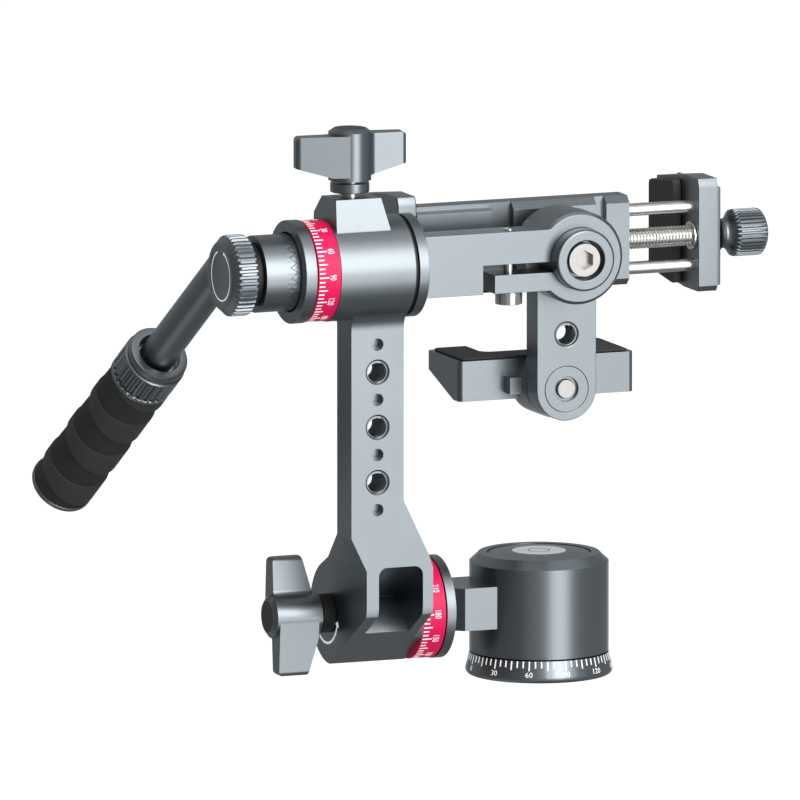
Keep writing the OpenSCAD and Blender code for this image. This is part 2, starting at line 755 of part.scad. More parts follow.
// Front outline of the front arm: bar, pinch ring, slot and clamping leg
module front_arm_outline() {
  difference() {
    union() {
      translate([right_flange_x + right_flange_t - over, cradle_z - front_h / 2])
        square([slot_x - right_flange_x - right_flange_t + over, front_h]);
      translate([slot_x, cradle_z - front_h / 2]) square([-slot_x, front_h]);
      translate([0, cradle_z]) circle(r = pinch_ring_r);
    }
    translate([slot_x, slot_z]) square([-slot_x, slot_h]);
    translate([slot_x, cradle_z - front_h / 2 - over]) square([leg_end - slot_x, front_h / 2]);
    translate([0, cradle_z]) circle(r = spindle_r + fit);
  }
}
module cradle_arm() titanium() difference() {
  union() {
    x_rod(right_flange_x, right_flange_x + right_flange_t, barrel_r, barrel_y, cradle_z);
    difference() {
      along_y(front_y, front_back) front_arm_outline();
      difference() {
        at_y(0, front_y - over, cradle_z) tube(pinch_ring_r + over, pinch_ring_r - ring_bevel - over,
          ring_bevel + over);
        at_y(0, front_y - over, cradle_z)
          cylinder(r1 = pinch_ring_r - ring_bevel - over, r2 = pinch_ring_r, h = ring_bevel + over);
        translate([-2 * pinch_ring_r, front_y - over, cradle_z - front_h / 2])
          cube([2 * pinch_ring_r, ring_bevel + over, front_h]);
      }
    }
  }
  x_rod(right_flange_x - over, right_flange_x + right_flange_t, shaft_r, barrel_y, cradle_z);
  translate([pinch_x, pinch_y, cradle_z - front_h / 2 - over])
    cylinder(r = pinch_r + fit, h = front_h + 2 * over);
}
module left_flange() titanium() at_x(left_flange_x, barrel_y, cradle_z) difference() {
  tube(barrel_r, shaft_r, left_flange_t);
  translate([0, 0, -over]) tube(flange_recess_r, tooth_in_r - 2 * gap, flange_recess + over);
  translate([0, 0, -over]) cylinder(r = tooth_in_r, h = flange_recess + over);
}
module seam_washer() plastic() at_x(barrel_x + seam_slack, barrel_y, cradle_z) {
  tube(seam_washer_r, shaft_r, right_flange_x - barrel_x - seam_slack);
}

// Toothed ring on local Z: flat at its foot, teeth round the plane z = h
module rosette(h, turn) {
  n = 2 * teeth;
  step = 360 / n;
  rise = [tooth_half * tooth_in_r / rosette_r, tooth_half];
  radii = [tooth_in_r, rosette_r];
  foot = [for (j = [0, 1], i = [0 : n - 1])
    [radii[j] * cos(turn + i * step), radii[j] * sin(turn + i * step), 0]];
  top = [for (j = [0, 1], i = [0 : n - 1])
    [radii[j] * cos(turn + i * step), radii[j] * sin(turn + i * step),
      h + rise[j] * (i % 2 ? -1 : 1)]];
  faces = [for (i = [0 : n - 1]) let (k = (i + 1) % n) each [
    [i, k, n + k, n + i],
    [2 * n + i, 3 * n + i, 3 * n + k, 2 * n + k],
    [n + i, n + k, 3 * n + k, 3 * n + i],
    [k, i, 2 * n + i, 2 * n + k]
  ]];
  polyhedron(points = concat(foot, top), faces = [for (f = faces) [for (q = [3 : -1 : 0]) f[q]]]);
}
module fixed_rosette() dark_metal() {
  translate([left_flange_x + flange_recess, barrel_y, cradle_z]) rotate([0, -90, 0])
    rosette(left_flange_x + flange_recess - mesh_x - mesh_gap / 2, 0);
}
module handle_rosette() dark_metal() {
  translate([mesh_x - handle_ring_w, barrel_y, cradle_z]) rotate([0, 90, 0])
    rosette(handle_ring_w - mesh_gap / 2, 180 / teeth);
}
module pinch_screw() steel() translate([pinch_x, pinch_y, cradle_z - front_h / 2]) difference() {
  union() {
    cylinder(r = pinch_r, h = front_h + gap);
    translate([0, 0, -pinch_head_h - gap / 3]) cylinder(r = pinch_head_r, h = pinch_head_h);
    translate([0, 0, -gap]) cylinder(r = pinch_r, h = gap);
  }
  translate([0, 0, -pinch_head_h - gap / 3 - over])
    cylinder(r = pinch_head_r * hex_share, h = pinch_head_h / 2 + over, $fn = 6);
}

module swivel_spindle() titanium() difference() {
  union() {
    at_y(0, front_y - spindle_proud, cradle_z)
      cylinder(r1 = spindle_r - spindle_bevel, r2 = spindle_r, h = spindle_bevel);
    y_rod(front_y - spindle_proud + spindle_bevel, front_back, spindle_r, 0, cradle_z);
    y_rod(front_back, link_back, spindle_neck_r, 0, cradle_z);
  }
  y_rod(front_y - spindle_proud - over, front_y - spindle_proud + spindle_recess + spindle_head_h,
    spindle_bore_r, 0, cradle_z);
  y_rod(front_y, link_back + over, spindle_screw_r, 0, cradle_z);
}
module spindle_screw() steel() difference() {
  head_y = front_y - spindle_proud + spindle_recess;
  union() {
    y_rod(head_y, head_y + spindle_head_h, spindle_head_r, 0, cradle_z);
    y_rod(head_y + spindle_head_h, rail_y, spindle_screw_r, 0, cradle_z);
  }
  at_y(0, head_y - over, cradle_z) rotate(30)
    cylinder(r = spindle_head_r * hex_share, h = hex_depth + over, $fn = 6);
}
module link() titanium() difference() {
  union() {
    y_rod(link_front, link_back, link_head_r, 0, cradle_z);
    y_rod(link_front, link_back, link_half, 0, shelf_pin_z);
    translate([-link_half, link_front, shelf_pin_z]) cube([2 * link_half, link_t, link_l]);
  }
  y_rod(link_front - over, link_back + over, spindle_neck_r, 0, cradle_z);
  y_rod(link_front - over, link_back + over, accessory_thread_r, 0, cradle_z - link_thread_drop);
  at_y(0, link_front - thread_rim, cradle_z - link_thread_drop)
    cylinder(r1 = accessory_thread_r + 2 * thread_rim, r2 = accessory_thread_r, h = 2 * thread_rim);
  y_rod(link_front - over, link_back + over, shelf_pin_r, 0, shelf_pin_z);
  y_rod(link_front - over, link_front + pivot_washer_t, pivot_washer_r, 0, shelf_pin_z);
}
module pivot_washer() titanium() at_y(0, link_front, shelf_pin_z) {
  tube(pivot_washer_r, pivot_hole_r, pivot_washer_t);
}
module shelf_pin() steel() {
  y_rod(link_front, shelf_front + shelf_flat, shelf_pin_r, 0, shelf_pin_z);
}

// Side outline of the rail, with its bevelled front edges
module rail_side() {
  u = rail_up;
  d = rail_down;
  b = rail_bevel;
  translate([rail_y, cradle_z]) polygon([
    [0, b - d], [b, -d], [rail_t - b, -d], [rail_t, b - d],
    [rail_t, u - b], [rail_t - b, u], [b, u], [0, u - b]
  ]);
}
module clamp_rail() titanium() difference() {
  union() {
    along_x(fixed_face, rail_end) rail_side();
    y_rod(link_back, rail_y, rail_hub_r, 0, cradle_z);
  }
  for (n = [notch_1, notch_2]) {
    translate([n[0], rail_y - over, cradle_z]) cube([n[1] - n[0], rail_notch + over, rail_up + over]);
  }
  for (s = [-1, 1]) {
    x_rod(rail_end - guide_in - close_travel - over, rail_end + over, guide_r + fit,
      lead_y, cradle_z + s * guide_pitch);
  }
  x_rod(rail_end - lead_in - close_travel - over, rail_end + over, lead_r + gap, lead_y, cradle_z);
  x_rod(rail_end - nut_l, rail_end + over, lead_nut_r, lead_y, cradle_z);
  y_rod(link_back - over, rail_y, spindle_screw_r, 0, cradle_z);
  translate([fixed_face - over, rail_y - over, cradle_z + rail_up - slope_drop]) {
    cube([notch_1[0] - fixed_face + over, over + rail_bevel, slope_drop + over]);
  }
}
module lead_nut() color([0.8, 0.65, 0.35]) at_x(rail_end - nut_l, lead_y, cradle_z) {
  tube(lead_nut_r, lead_r + fit, nut_l);
}

// Side outline shared by both jaws
module jaw_side() {
  translate([0, cradle_z]) polygon([
    [rail_y, -jaw_front_half], [rail_y + jaw_front_in, -jaw_foot_half],
    [jaw_back_in, -jaw_foot_half], [jaw_back, -jaw_back_half],
    [jaw_back, jaw_back_half], [jaw_back_in, jaw_half],
    [rail_y + jaw_front_in, jaw_half], [rail_y, jaw_front_half]
  ]);
}
// Side outline of the pads, lower at the back, with round corners
module pad_side() {
  front = [pad_front + pad_round, pad_half - pad_round];
  back = [jaw_back - pad_round, pad_back_half - pad_round];
  turn = 90 - atan2(front[1] - back[1], back[0] - front[0]);
  top = concat(arc(front, pad_round, 180, turn), arc(back, pad_round, turn, 0));
  n = len(top);
  translate([0, cradle_z])
    polygon(concat(top, [for (i = [n - 1 : -1 : 0]) [top[i][0], -top[i][1]]]));
}
module fixed_jaw() titanium() along_x(fixed_face - jaw_t, fixed_face) jaw_side();
module fixed_jaw_pad() rubber() along_x(fixed_face, fixed_face + pad_t) pad_side();
module moving_jaw() titanium() difference() {
  along_x(moving_face, moving_face + jaw_t) jaw_side();
  x_rod(moving_face - over, moving_face + jaw_t + over, lead_r + fit, lead_y, cradle_z);
  for (s = [-1, 1]) {
    x_rod(moving_face - over, moving_face + jaw_t / 2, guide_r, lead_y, cradle_z + s * guide_pitch);
  }
}
module moving_jaw_pad() rubber() along_x(moving_face - pad_t, moving_face) pad_side();
module jaw_end_plate() dark_metal() difference() {
  translate([moving_face + jaw_t, rail_y + end_plate_in, cradle_z - jaw_front_half])
    cube([end_plate_t, jaw_back - rail_y - 2 * end_plate_in, 2 * jaw_front_half]);
  x_rod(moving_face, moving_face + jaw_t + end_plate_t + over, lead_r + fit, lead_y, cradle_z);
}
module guide_rods() steel() for (s = [-1, 1]) {
  x_rod(rail_end - guide_in, moving_face + jaw_t / 2, guide_r,
    lead_y, cradle_z + s * guide_pitch);
}
module lead_screw() steel() {
  x_rod(rail_end - lead_in, clamp_knob_x + lead_end_in, lead_r, lead_y, cradle_z);
}
module screw_washer() steel() at_x(moving_face - washer_t - fit, lead_y, cradle_z) {
  tube(washer_r, lead_r, washer_t);
}
module clamp_knob() titanium() at_x(clamp_x, lead_y, cradle_z) difference() {
  r = clamp_knob_r;
  union() {
    rotate_extrude() polygon([
      [0, 0], [clamp_foot_r, 0], [clamp_neck_r, clamp_neck_l * 0.45],
      [r - knurl_depth, clamp_neck_l], [r - knurl_depth, clamp_neck_l + clamp_knob_l - knurl_depth],
      [r - 3 * knurl_depth, clamp_neck_l + clamp_knob_l], [0, clamp_neck_l + clamp_knob_l]
    ]);
    translate([0, 0, clamp_neck_l + knurl_depth])
      linear_extrude(height = clamp_knob_l - 3 * knurl_depth) knurl(r, knurl_depth, clamp_ridges);
  }
  translate([0, 0, -over]) cylinder(r = lead_r, h = clamp_neck_l + lead_end_in + over);
}

// Side outline of the shelf: flat top, tall front, underside rising to the back edge
module shelf_side() {
  polygon([
    [shelf_front, shelf_top - shelf_h], [shelf_front + shelf_flat, shelf_top - shelf_h],
    [shelf_back, shelf_top - shelf_lip_h], [shelf_back, shelf_top], [shelf_front, shelf_top]
  ]);
}
module shelf_plan(inset) {
  h = shelf_half - inset;
  r = shelf_round;
  difference() {
    translate([-h, shelf_front + inset]) rounded(2 * h, shelf_t - 2 * inset, r);
    translate([-notch_half - inset, shelf_back - notch_depth - inset]) {
      rounded(2 * (notch_half + inset), notch_depth + inset + over + 2 * notch_r, notch_r);
    }
  }
}
module phone_shelf() titanium() difference() {
  union() {
    intersection() {
      along_x(-shelf_half, shelf_half) shelf_side();
      linear_extrude(height = shelf_top + over) shelf_plan(0);
    }
    y_rod(link_back + gap, shelf_front + shelf_flat, shelf_hub_r, 0, shelf_pin_z);
    translate([-lug_in - lug_w, shelf_front - lug_t, shelf_pin_z - lug_half])
      cube([lug_w, lug_t + over, 2 * lug_half]);
  }
  translate([-shelf_half, shelf_front - over, shelf_top])
    cube([2 * shelf_half, shelf_t + 2 * over, shelf_hub_r]);
  y_rod(link_back, shelf_front + shelf_flat + over, shelf_pin_r + fit, 0, shelf_pin_z);
}
module shelf_pad() rubber() translate([0, 0, shelf_top]) {
  linear_extrude(height = shelf_pad_t) shelf_plan(shelf_pad_in);
}

// The bent rod's own frame: local Z runs from the bend to the grip
module at_bend() translate(bend) rotate([0, 0, rod_yaw]) rotate([-rod_pitch, 0, 0]) children();
module handle_barrel() titanium() difference() {
  x_rod(handle_left, mesh_x - handle_ring_w, rosette_r, barrel_y, cradle_z);
  x_rod(handle_left - over, mesh_x, stub_r + fit, barrel_y, cradle_z);
  y_rod(barrel_y + stub_r + tenon_end, barrel_y + rosette_r + over, tenon_r, handle_mid_x, cradle_z);
}
module handle_rod() titanium() {
  y_rod(barrel_y + stub_r + tenon_end, barrel_y + rosette_r + over, tenon_r, handle_mid_x, cradle_z);
  y_rod(barrel_y + rosette_r + gap, bend[1], rod_r, handle_mid_x, cradle_z);
  translate(bend) sphere(r = rod_r + bend_swell);
  at_bend() cylinder(r = rod_r, h = rod_l + rod_in_grip);
}
module lock_spacer() plastic() at_x(handle_left - gap / 2 - lock_spacer_t, barrel_y, cradle_z) {
  tube(lock_spacer_r, stub_r + fit, lock_spacer_t);
}
module lock_knob() titanium() translate([lock_knob_x, barrel_y, cradle_z]) rotate([0, 90, 0]) {
  r = lock_knob_r;
  difference() {
    union() {
      rotate_extrude() polygon([
        [0, lock_recess], [lock_ring_r, lock_recess], [lock_ring_r, 0],
        [r - lock_bevel_drop - lock_recess, 0], [r - knurl_depth, lock_bevel],
        [r - knurl_depth, lock_knob_w], [0, lock_knob_w]
      ]);
      translate([0, 0, lock_bevel]) linear_extrude(height = lock_knob_w - lock_bevel - lock_recess)
        knurl(r, knurl_depth, lock_ridges);
    }
    translate([0, 0, lock_bevel]) cylinder(r = lock_screw_r + fit + nut_wall, h = lock_knob_w);
  }
}
module lock_knob_nut() steel() at_x(lock_knob_x + lock_bevel, barrel_y, cradle_z) {
  tube(lock_screw_r + fit + nut_wall, lock_screw_r + fit, lock_knob_w - lock_bevel);
}

module grip_collar() dark_metal() at_bend() translate([0, 0, rod_l]) difference() {
  union() {
    rotate_extrude() polygon([
      [0, 0], [collar_ring_r - grip_edge, 0], [collar_ring_r, grip_edge],
      [collar_ring_r, collar_l - gap], [0, collar_l - gap]
    ]);
    translate([0, 0, 2 * collar_ring_l])
      linear_extrude(height = collar_l - gap - 3 * collar_ring_l)
        knurl(grip_r, collar_knurl_depth, collar_ridges);
  }
  translate([0, 0, -over]) cylinder(r = collar_mouth_r, h = collar_l + over);
}
module grip_sleeve() steel() at_bend() {
  translate([0, 0, rod_l + collar_l]) tube(sleeve_r, rod_r + fit, grip_l - collar_l - end_cap_l);
  translate([0, 0, rod_l + nose_set_back]) {
    tube(collar_mouth_r - 3 * fit, rod_r + fit, collar_l - nose_set_back + over);
  }
}
// Raised panels, each ending in a step, and recesses that rise to the next panel
module grip_rubber() rubber() at_bend() translate([0, 0, rod_l + collar_l]) difference() {
  l = grip_l - collar_l - end_cap_l;
  tube(grip_r, sleeve_r, l);
  for (z = [grip_lead : grip_pitch : l - grip_lead]) {
    translate([0, 0, z]) rotate_extrude() polygon([
      [grip_r - grip_recess, 0], [grip_r + over, 0],
      [grip_r + over, grip_recess_l], [grip_r, grip_recess_l]
    ]);
  }
}
module grip_end_cap() dark_metal() at_bend() translate([0, 0, rod_l + grip_l - end_cap_l]) {
  cylinder(r = grip_r, h = end_cap_l - grip_edge);
  translate([0, 0, end_cap_l - grip_edge])
    cylinder(r1 = grip_r, r2 = grip_r - grip_edge, h = grip_edge);
}

pan_base();
tripod_bush();
pan_retainer();
retainer_screw();
pan_housing();
pan_bush();
level_cap();
level_vial();
lower_tilt_shaft();
arm();
lower_scale_ring();
lower_tilt_bush();
upper_scale_ring();
left_tilt_bush();
right_tilt_bush();
brake_pad();
lower_wing_knob();
lower_knob_cap();
lower_knob_nut();
lower_knob_spacer();
upper_wing_knob();
upper_knob_cap();
upper_knob_screw();
upper_knob_spacer();
tilt_shaft();
cradle_arm();
left_flange();
seam_washer();
fixed_rosette();
pinch_screw();
swivel_spindle();
spindle_screw();
link();
clamp_rail();
fixed_jaw();
fixed_jaw_pad();
lead_nut();
shelf_pin();
pivot_washer();
moving_jaw();
moving_jaw_pad();
guide_rods();
jaw_end_plate();
lead_screw();
clamp_knob();
screw_washer();
phone_shelf();
shelf_pad();
handle_barrel();
handle_rosette();
handle_rod();
lock_spacer();
lock_knob();
lock_knob_nut();
grip_collar();
grip_sleeve();
grip_rubber();
grip_end_cap();
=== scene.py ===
# %% [markdown]
# # A phone gimbal head, dressed in Blender
# The CAD model gives every solid its size and its place. This script gives each of them the finish of
# the real thing: bead-blasted anodised aluminium with crisp broken edges, red dials with white marks,
# turned steel, rubber. Lengths are in metres, as in Blender, and most values are written in millimetres
# and multiplied by MM.

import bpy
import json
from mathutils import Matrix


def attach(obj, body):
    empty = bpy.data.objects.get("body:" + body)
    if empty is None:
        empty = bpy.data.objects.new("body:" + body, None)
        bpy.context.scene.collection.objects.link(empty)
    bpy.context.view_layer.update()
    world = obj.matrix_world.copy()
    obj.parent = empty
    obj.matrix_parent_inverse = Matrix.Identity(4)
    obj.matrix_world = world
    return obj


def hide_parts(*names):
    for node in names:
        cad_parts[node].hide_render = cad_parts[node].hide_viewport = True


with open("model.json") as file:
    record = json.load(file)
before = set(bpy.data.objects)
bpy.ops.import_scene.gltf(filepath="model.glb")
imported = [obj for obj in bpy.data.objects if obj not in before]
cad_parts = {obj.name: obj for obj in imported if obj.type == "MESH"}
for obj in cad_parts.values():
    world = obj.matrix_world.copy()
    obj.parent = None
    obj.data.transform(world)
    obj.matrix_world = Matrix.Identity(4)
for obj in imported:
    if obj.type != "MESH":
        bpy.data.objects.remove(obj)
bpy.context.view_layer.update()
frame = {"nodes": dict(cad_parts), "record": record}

# %% Libraries and units
import json
import math
import bmesh
import bpy
import numpy as np
from mathutils import Vector

MM = 0.001
nodes = frame["nodes"]
scene = bpy.context.scene

# %% [markdown]
# ## Camera
# The photograph is taken from the left front with a very long lens, so parallel edges stay nearly
# parallel. A camera far away with a long focal length does the same. Three numbers tie it to the
# picture: its azimuth, its elevation and how many pixels a millimetre takes. The point that it looks at
# is the one that falls on the middle of the frame.

# %% Camera far away on the photograph's line of sight
AZIMUTH, ELEVATION = math.radians(-22), math.radians(9)
PIXELS_PER_MM, FRAME_PIXELS = 3.5, 800
ORIGIN_PIXEL = (538.9, 672.2)

sight_right = Vector((math.cos(AZIMUTH), math.sin(AZIMUTH), 0))
sight_back = Vector((math.sin(AZIMUTH) * math.cos(ELEVATION), -math.cos(AZIMUTH) * math.cos(ELEVATION),
                     math.sin(ELEVATION)))
sight_up = sight_back.cross(sight_right)

camera_data = bpy.data.cameras.new("camera")
LENS_MM, SENSOR_MM = 1500, 36
camera_data.lens, camera_data.sensor_width = LENS_MM, SENSOR_MM
frame_width = FRAME_PIXELS / PIXELS_PER_MM * MM
distance = frame_width * camera_data.lens / camera_data.sensor_width
centre = (sight_right * (FRAME_PIXELS / 2 - ORIGIN_PIXEL[0]) / PIXELS_PER_MM
          + sight_up * (ORIGIN_PIXEL[1] - FRAME_PIXELS / 2) / PIXELS_PER_MM) * MM
camera = bpy.data.objects.new("camera", camera_data)
camera.location = centre + sight_back * distance
camera.rotation_mode = "QUATERNION"
camera.rotation_quaternion = (-sight_back).to_track_quat("-Z", "Y")
camera_data.clip_start, camera_data.clip_end = distance * 0.2, distance * 4
scene.collection.objects.link(camera)
scene.camera = camera
print("camera", round(distance, 2), "m away")

# %% [markdown]
# ## Studio
# Anodised metal shows its surroundings more than its own colour. In the photograph every face that looks
# straight ahead is bright, with a hot core, and every face that looks to the left is dark. A product
# photographer does this with one tall soft lamp right of the camera, and with grey and black cards all
# round that the metal reflects. The cards are seen by reflections only, so they take no light off the
# object, and between them the white room shows.

# %% Room: white to the camera and to metal and glass, grey as soft light
def white_room(fill_grey):
    """World shader: strength 1 white for camera, glossy and transmission rays, fill_grey as soft light."""
    world = bpy.data.worlds.new("room")
    scene.world = world
    world.use_nodes = True
    tree = world.node_tree
    tree.nodes.clear()
    out = tree.nodes.new("ShaderNodeOutputWorld")
    fill, white = (tree.nodes.new("ShaderNodeBackground") for _ in range(2))
    fill.inputs["Color"].default_value = (*[fill_grey] * 3, 1)
    white.inputs["Color"].default_value = (1, 1, 1, 1)
    mix = tree.nodes.new("ShaderNodeMixShader")
    tree.links.new(seen_directly(tree), mix.inputs[0])
    tree.links.new(fill.outputs[0], mix.inputs[1])
    tree.links.new(white.outputs[0], mix.inputs[2])
    tree.links.new(mix.outputs[0], out.inputs["Surface"])


def seen_directly(tree):
    """1 for camera, glossy and transmission rays, 0 for the others."""
    path = tree.nodes.new("ShaderNodeLightPath")
    first, both = (tree.nodes.new("ShaderNodeMath") for _ in range(2))
    first.operation = both.operation = "MAXIMUM"
    tree.links.new(path.outputs["Is Camera Ray"], first.inputs[0])
    tree.links.new(path.outputs["Is Glossy Ray"], first.inputs[1])
    tree.links.new(first.outputs[0], both.inputs[0])
    tree.links.new(path.outputs["Is Transmission Ray"], both.inputs[1])
    return both.outputs[0]


ROOM_GREY = 0.42
white_room(ROOM_GREY)
print("room set")

# %% Lamps
STAGE_CENTRE = Vector((-0.03, -0.01, 0.09))


def soft_lamp(name, azimuth, elevation, reach, width, height, radiance, colour=(1, 1, 1)):
    """Rectangle of light at an azimuth and elevation seen from the object, facing it. Its power is the wanted
    radiance times pi times its area, so a lamp keeps its brightness in reflections when its size changes."""
    a, e = math.radians(azimuth), math.radians(elevation)
    out_dir = Vector((math.sin(a) * math.cos(e), -math.cos(a) * math.cos(e), math.sin(e)))
    data = bpy.data.lights.new(name, "AREA")
    data.shape, data.size, data.size_y = "RECTANGLE", width, height
    data.energy = radiance * math.pi * width * height
    data.color = colour
    lamp = bpy.data.objects.new(name, data)
    lamp.location = STAGE_CENTRE + out_dir * reach
    lamp.rotation_mode = "QUATERNION"
    lamp.rotation_quaternion = (-out_dir).to_track_quat("-Z", "Y")
    lamp.visible_camera = False
    scene.collection.objects.link(lamp)
    return lamp


soft_lamp("key_lamp", 13, 15, 1.1, 0.68, 2.2, 1.98)
soft_lamp("core_lamp", 13, 22, 1.0, 0.48, 0.74, 2.3)
soft_lamp("top_lamp", -10, 78, 1.2, 0.9, 0.7, 0.55)
print("lamps set")

# %% Grey cards that only reflections see
CARD_REACH = 2.4


def grey_card(name, azimuths, elevations, grey):
    """Patch of a sphere round the object: azimuth runs along one side of the grid, elevation along
    the other."""
    a, e = np.meshgrid(np.radians(np.linspace(*azimuths, 25)), np.radians(np.linspace(*elevations, 13)))
    points = np.stack((np.sin(a) * np.cos(e), -np.cos(a) * np.cos(e), np.sin(e)), axis=-1) * CARD_REACH
    rows, columns = a.shape
    index = np.arange(rows * columns).reshape(rows, columns)
    quads = np.stack((index[:-1, :-1], index[:-1, 1:], index[1:, 1:], index[1:, :-1]), axis=-1).reshape(-1, 4)
    mesh = bpy.data.meshes.new(name)
    mesh.from_pydata((points.reshape(-1, 3) + np.array(STAGE_CENTRE)).tolist(), [], quads.tolist())
    material = bpy.data.materials.new(name)
    material.use_nodes = True
    tree = material.node_tree
    tree.nodes.clear()
    glow = tree.nodes.new("ShaderNodeEmission")
    glow.inputs["Color"].default_value = (grey * 0.96, grey, grey * 1.03, 1)
    out = tree.nodes.new("ShaderNodeOutputMaterial")
    tree.links.new(glow.outputs[0], out.inputs["Surface"])
    material.cycles.emission_sampling = "NONE"
    mesh.materials.append(material)
    card = bpy.data.objects.new(name, mesh)
    card.visible_camera = card.visible_diffuse = card.visible_transmission = card.visible_shadow = False
    scene.collection.objects.link(card)


CARDS = {
    "left_card": ((-128, -45), (-45, 45), 0.16), "front_card": ((-45, 45), (-28, 45), 0.30),
    "low_front_card": ((-45, 45), (-45, -28), 0.55),
    "right_card": ((45, 135), (-45, 45), 0.28), "back_card": ((178, 232), (-45, 0), 0.25),
    "low_back_card": ((135, 178), (-45, -20), 0.25), "back_top_card": ((135, 232), (0, 45), 0.32),
    "top_card": ((110, 400), (45, 89.9), 0.25), "right_top_card": ((40, 110), (65, 89.9), 0.25),
    "collar_card": ((40, 110), (45, 65), 0.75), "bottom_card": ((-60, 200), (-89.9, -45), 0.20),
    "left_bottom_card": ((200, 300), (-89.9, -70), 0.20), "rod_card": ((200, 300), (-70, -45), 0.40)}
for card_name, (azimuths, elevations, grey) in CARDS.items():
    grey_card(card_name, azimuths, elevations, grey)
print(len(CARDS), "cards stand round the object")

# %% Floor
def shadow_floor(level, size, paint_grey, glow_white):
    """A flat square of diffuse paint, plus a glow that only camera, glossy and transmission rays see.
    Together they are white where the lamps reach, and the paint's share goes dark in the shadow."""
    mesh = bpy.data.meshes.new("floor")
    corners = [(x * size, y * size, level) for x, y in ((-1, -1), (1, -1), (1, 1), (-1, 1))]
    mesh.from_pydata(corners, [], [(0, 1, 2, 3)])
    floor = bpy.data.objects.new("floor", mesh)
    scene.collection.objects.link(floor)
    material = bpy.data.materials.new("floor_paint")
    material.use_nodes = True
    tree = material.node_tree
    tree.nodes.clear()
    out = tree.nodes.new("ShaderNodeOutputMaterial")
    paint = tree.nodes.new("ShaderNodeBsdfDiffuse")
    paint.inputs["Color"].default_value = (*[paint_grey] * 3, 1)
    glow = tree.nodes.new("ShaderNodeEmission")
    glow.inputs["Color"].default_value = (1, 1, 1, 1)
    amount = tree.nodes.new("ShaderNodeMath")
    amount.operation = "MULTIPLY"
    amount.inputs[1].default_value = glow_white
    both = tree.nodes.new("ShaderNodeAddShader")
    tree.links.new(seen_directly(tree), amount.inputs[0])
    tree.links.new(amount.outputs[0], glow.inputs["Strength"])
    tree.links.new(paint.outputs[0], both.inputs[0])
    tree.links.new(glow.outputs[0], both.inputs[1])
    tree.links.new(both.outputs[0], out.inputs["Surface"])
    mesh.materials.append(material)
    floor.visible_glossy = False
    floor.visible_shadow = False
    return floor


# The tilted arm and handle reach about 240 mm below the base, as they do on a tripod, so the
# floor lies under that.
FLOOR_DEPTH, FLOOR_HALF, FLOOR_PAINT, FLOOR_GLOW = 245, 6.0, 0.45, 0.86
shadow_floor(-FLOOR_DEPTH * MM, FLOOR_HALF, FLOOR_PAINT, FLOOR_GLOW)
scene.view_settings.view_transform = "Standard"
print("floor set")

# %% [markdown]
# ## Finishes
# Bead-blasted aluminium that is then anodised has a fine dull grain: the blast leaves craters of about a
# tenth of a millimetre. A noise texture at that size drives a small bump and a slight change of
# roughness, and a larger, faint noise varies the tint as the dye bath does. All patterns read Object
# coordinates, so they stay on the piece.

# %% Shared parts of a finish
def new_finish(name):
    """An empty node tree with a Principled shader. Returns the material, its tree and the shader node."""
    material = bpy.data.materials.new(name)
    material.use_nodes = True
    tree = material.node_tree
    return material, tree, tree.nodes["Principled BSDF"]


def object_noise(tree, scale, detail=2.0, stretch=(1, 1, 1)):
    """Noise read at object coordinates (metres) times scale. stretch above 1 squeezes it along that axis."""
    coords = tree.nodes.new("ShaderNodeTexCoord")
    mapping = tree.nodes.new("ShaderNodeMapping")
    mapping.inputs["Scale"].default_value = stretch
    noise = tree.nodes.new("ShaderNodeTexNoise")
    noise.inputs["Scale"].default_value = scale
    noise.inputs["Detail"].default_value = detail
    tree.links.new(coords.outputs["Object"], mapping.inputs["Vector"])
    tree.links.new(mapping.outputs["Vector"], noise.inputs["Vector"])
    return noise


def spread(tree, source, low, high):
    """Map Range from 0.3..0.7, where most of the noise lies, to low..high."""
    node = tree.nodes.new("ShaderNodeMapRange")
    node.inputs["From Min"].default_value, node.inputs["From Max"].default_value = 0.3, 0.7
    node.inputs["To Min"].default_value, node.inputs["To Max"].default_value = low, high
    tree.links.new(source, node.inputs["Value"])
    return node.outputs["Result"]


def grain_bump(tree, shader, source, strength, height_mm):
    """A Bump node from source to the shader's normal."""
    bump = tree.nodes.new("ShaderNodeBump")
    bump.inputs["Strength"].default_value = strength
    bump.inputs["Distance"].default_value = height_mm * MM
    tree.links.new(source, bump.inputs["Height"])
    tree.links.new(bump.outputs["Normal"], shader.inputs["Normal"])


def two_tone(tree, shader, source, low, high):
    """Colour between low and high by source."""
    mix = tree.nodes.new("ShaderNodeMix")
    mix.data_type = "RGBA"
    mix.inputs["A"].default_value, mix.inputs["B"].default_value = (*low, 1), (*high, 1)
    tree.links.new(source, mix.inputs["Factor"])
    tree.links.new(mix.outputs["Result"], shader.inputs["Base Color"])


print("finish helpers ready")

# %% Anodised aluminium in three colours
def anodised(name, low, high, rough_low, rough_high, grain=0.10, metallic=1.0):
    """Metal whose tint drifts over about 20 mm and whose blasted grain is about 0.12 mm wide. A thick
    bright dye hides the metal, so a red ring has no metallic left."""
    material, tree, shader = new_finish(name)
    shader.inputs["Metallic"].default_value = metallic
    tint = object_noise(tree, 45, 3.0)
    two_tone(tree, shader, spread(tree, tint.outputs["Fac"], 0, 1), low, high)
    blast = object_noise(tree, 6500, 1.5)
    tree.links.new(spread(tree, blast.outputs["Fac"], rough_low, rough_high), shader.inputs["Roughness"])
    grain_bump(tree, shader, blast.outputs["Fac"], grain, 0.02)
    return material


def set_inputs(material, **values):
    """Plain values on the material's Principled shader, with _ for the spaces in an input's name."""
    inputs = material.node_tree.nodes["Principled BSDF"].inputs
    for key, value in values.items():
        inputs[key.replace("_", " ")].default_value = value


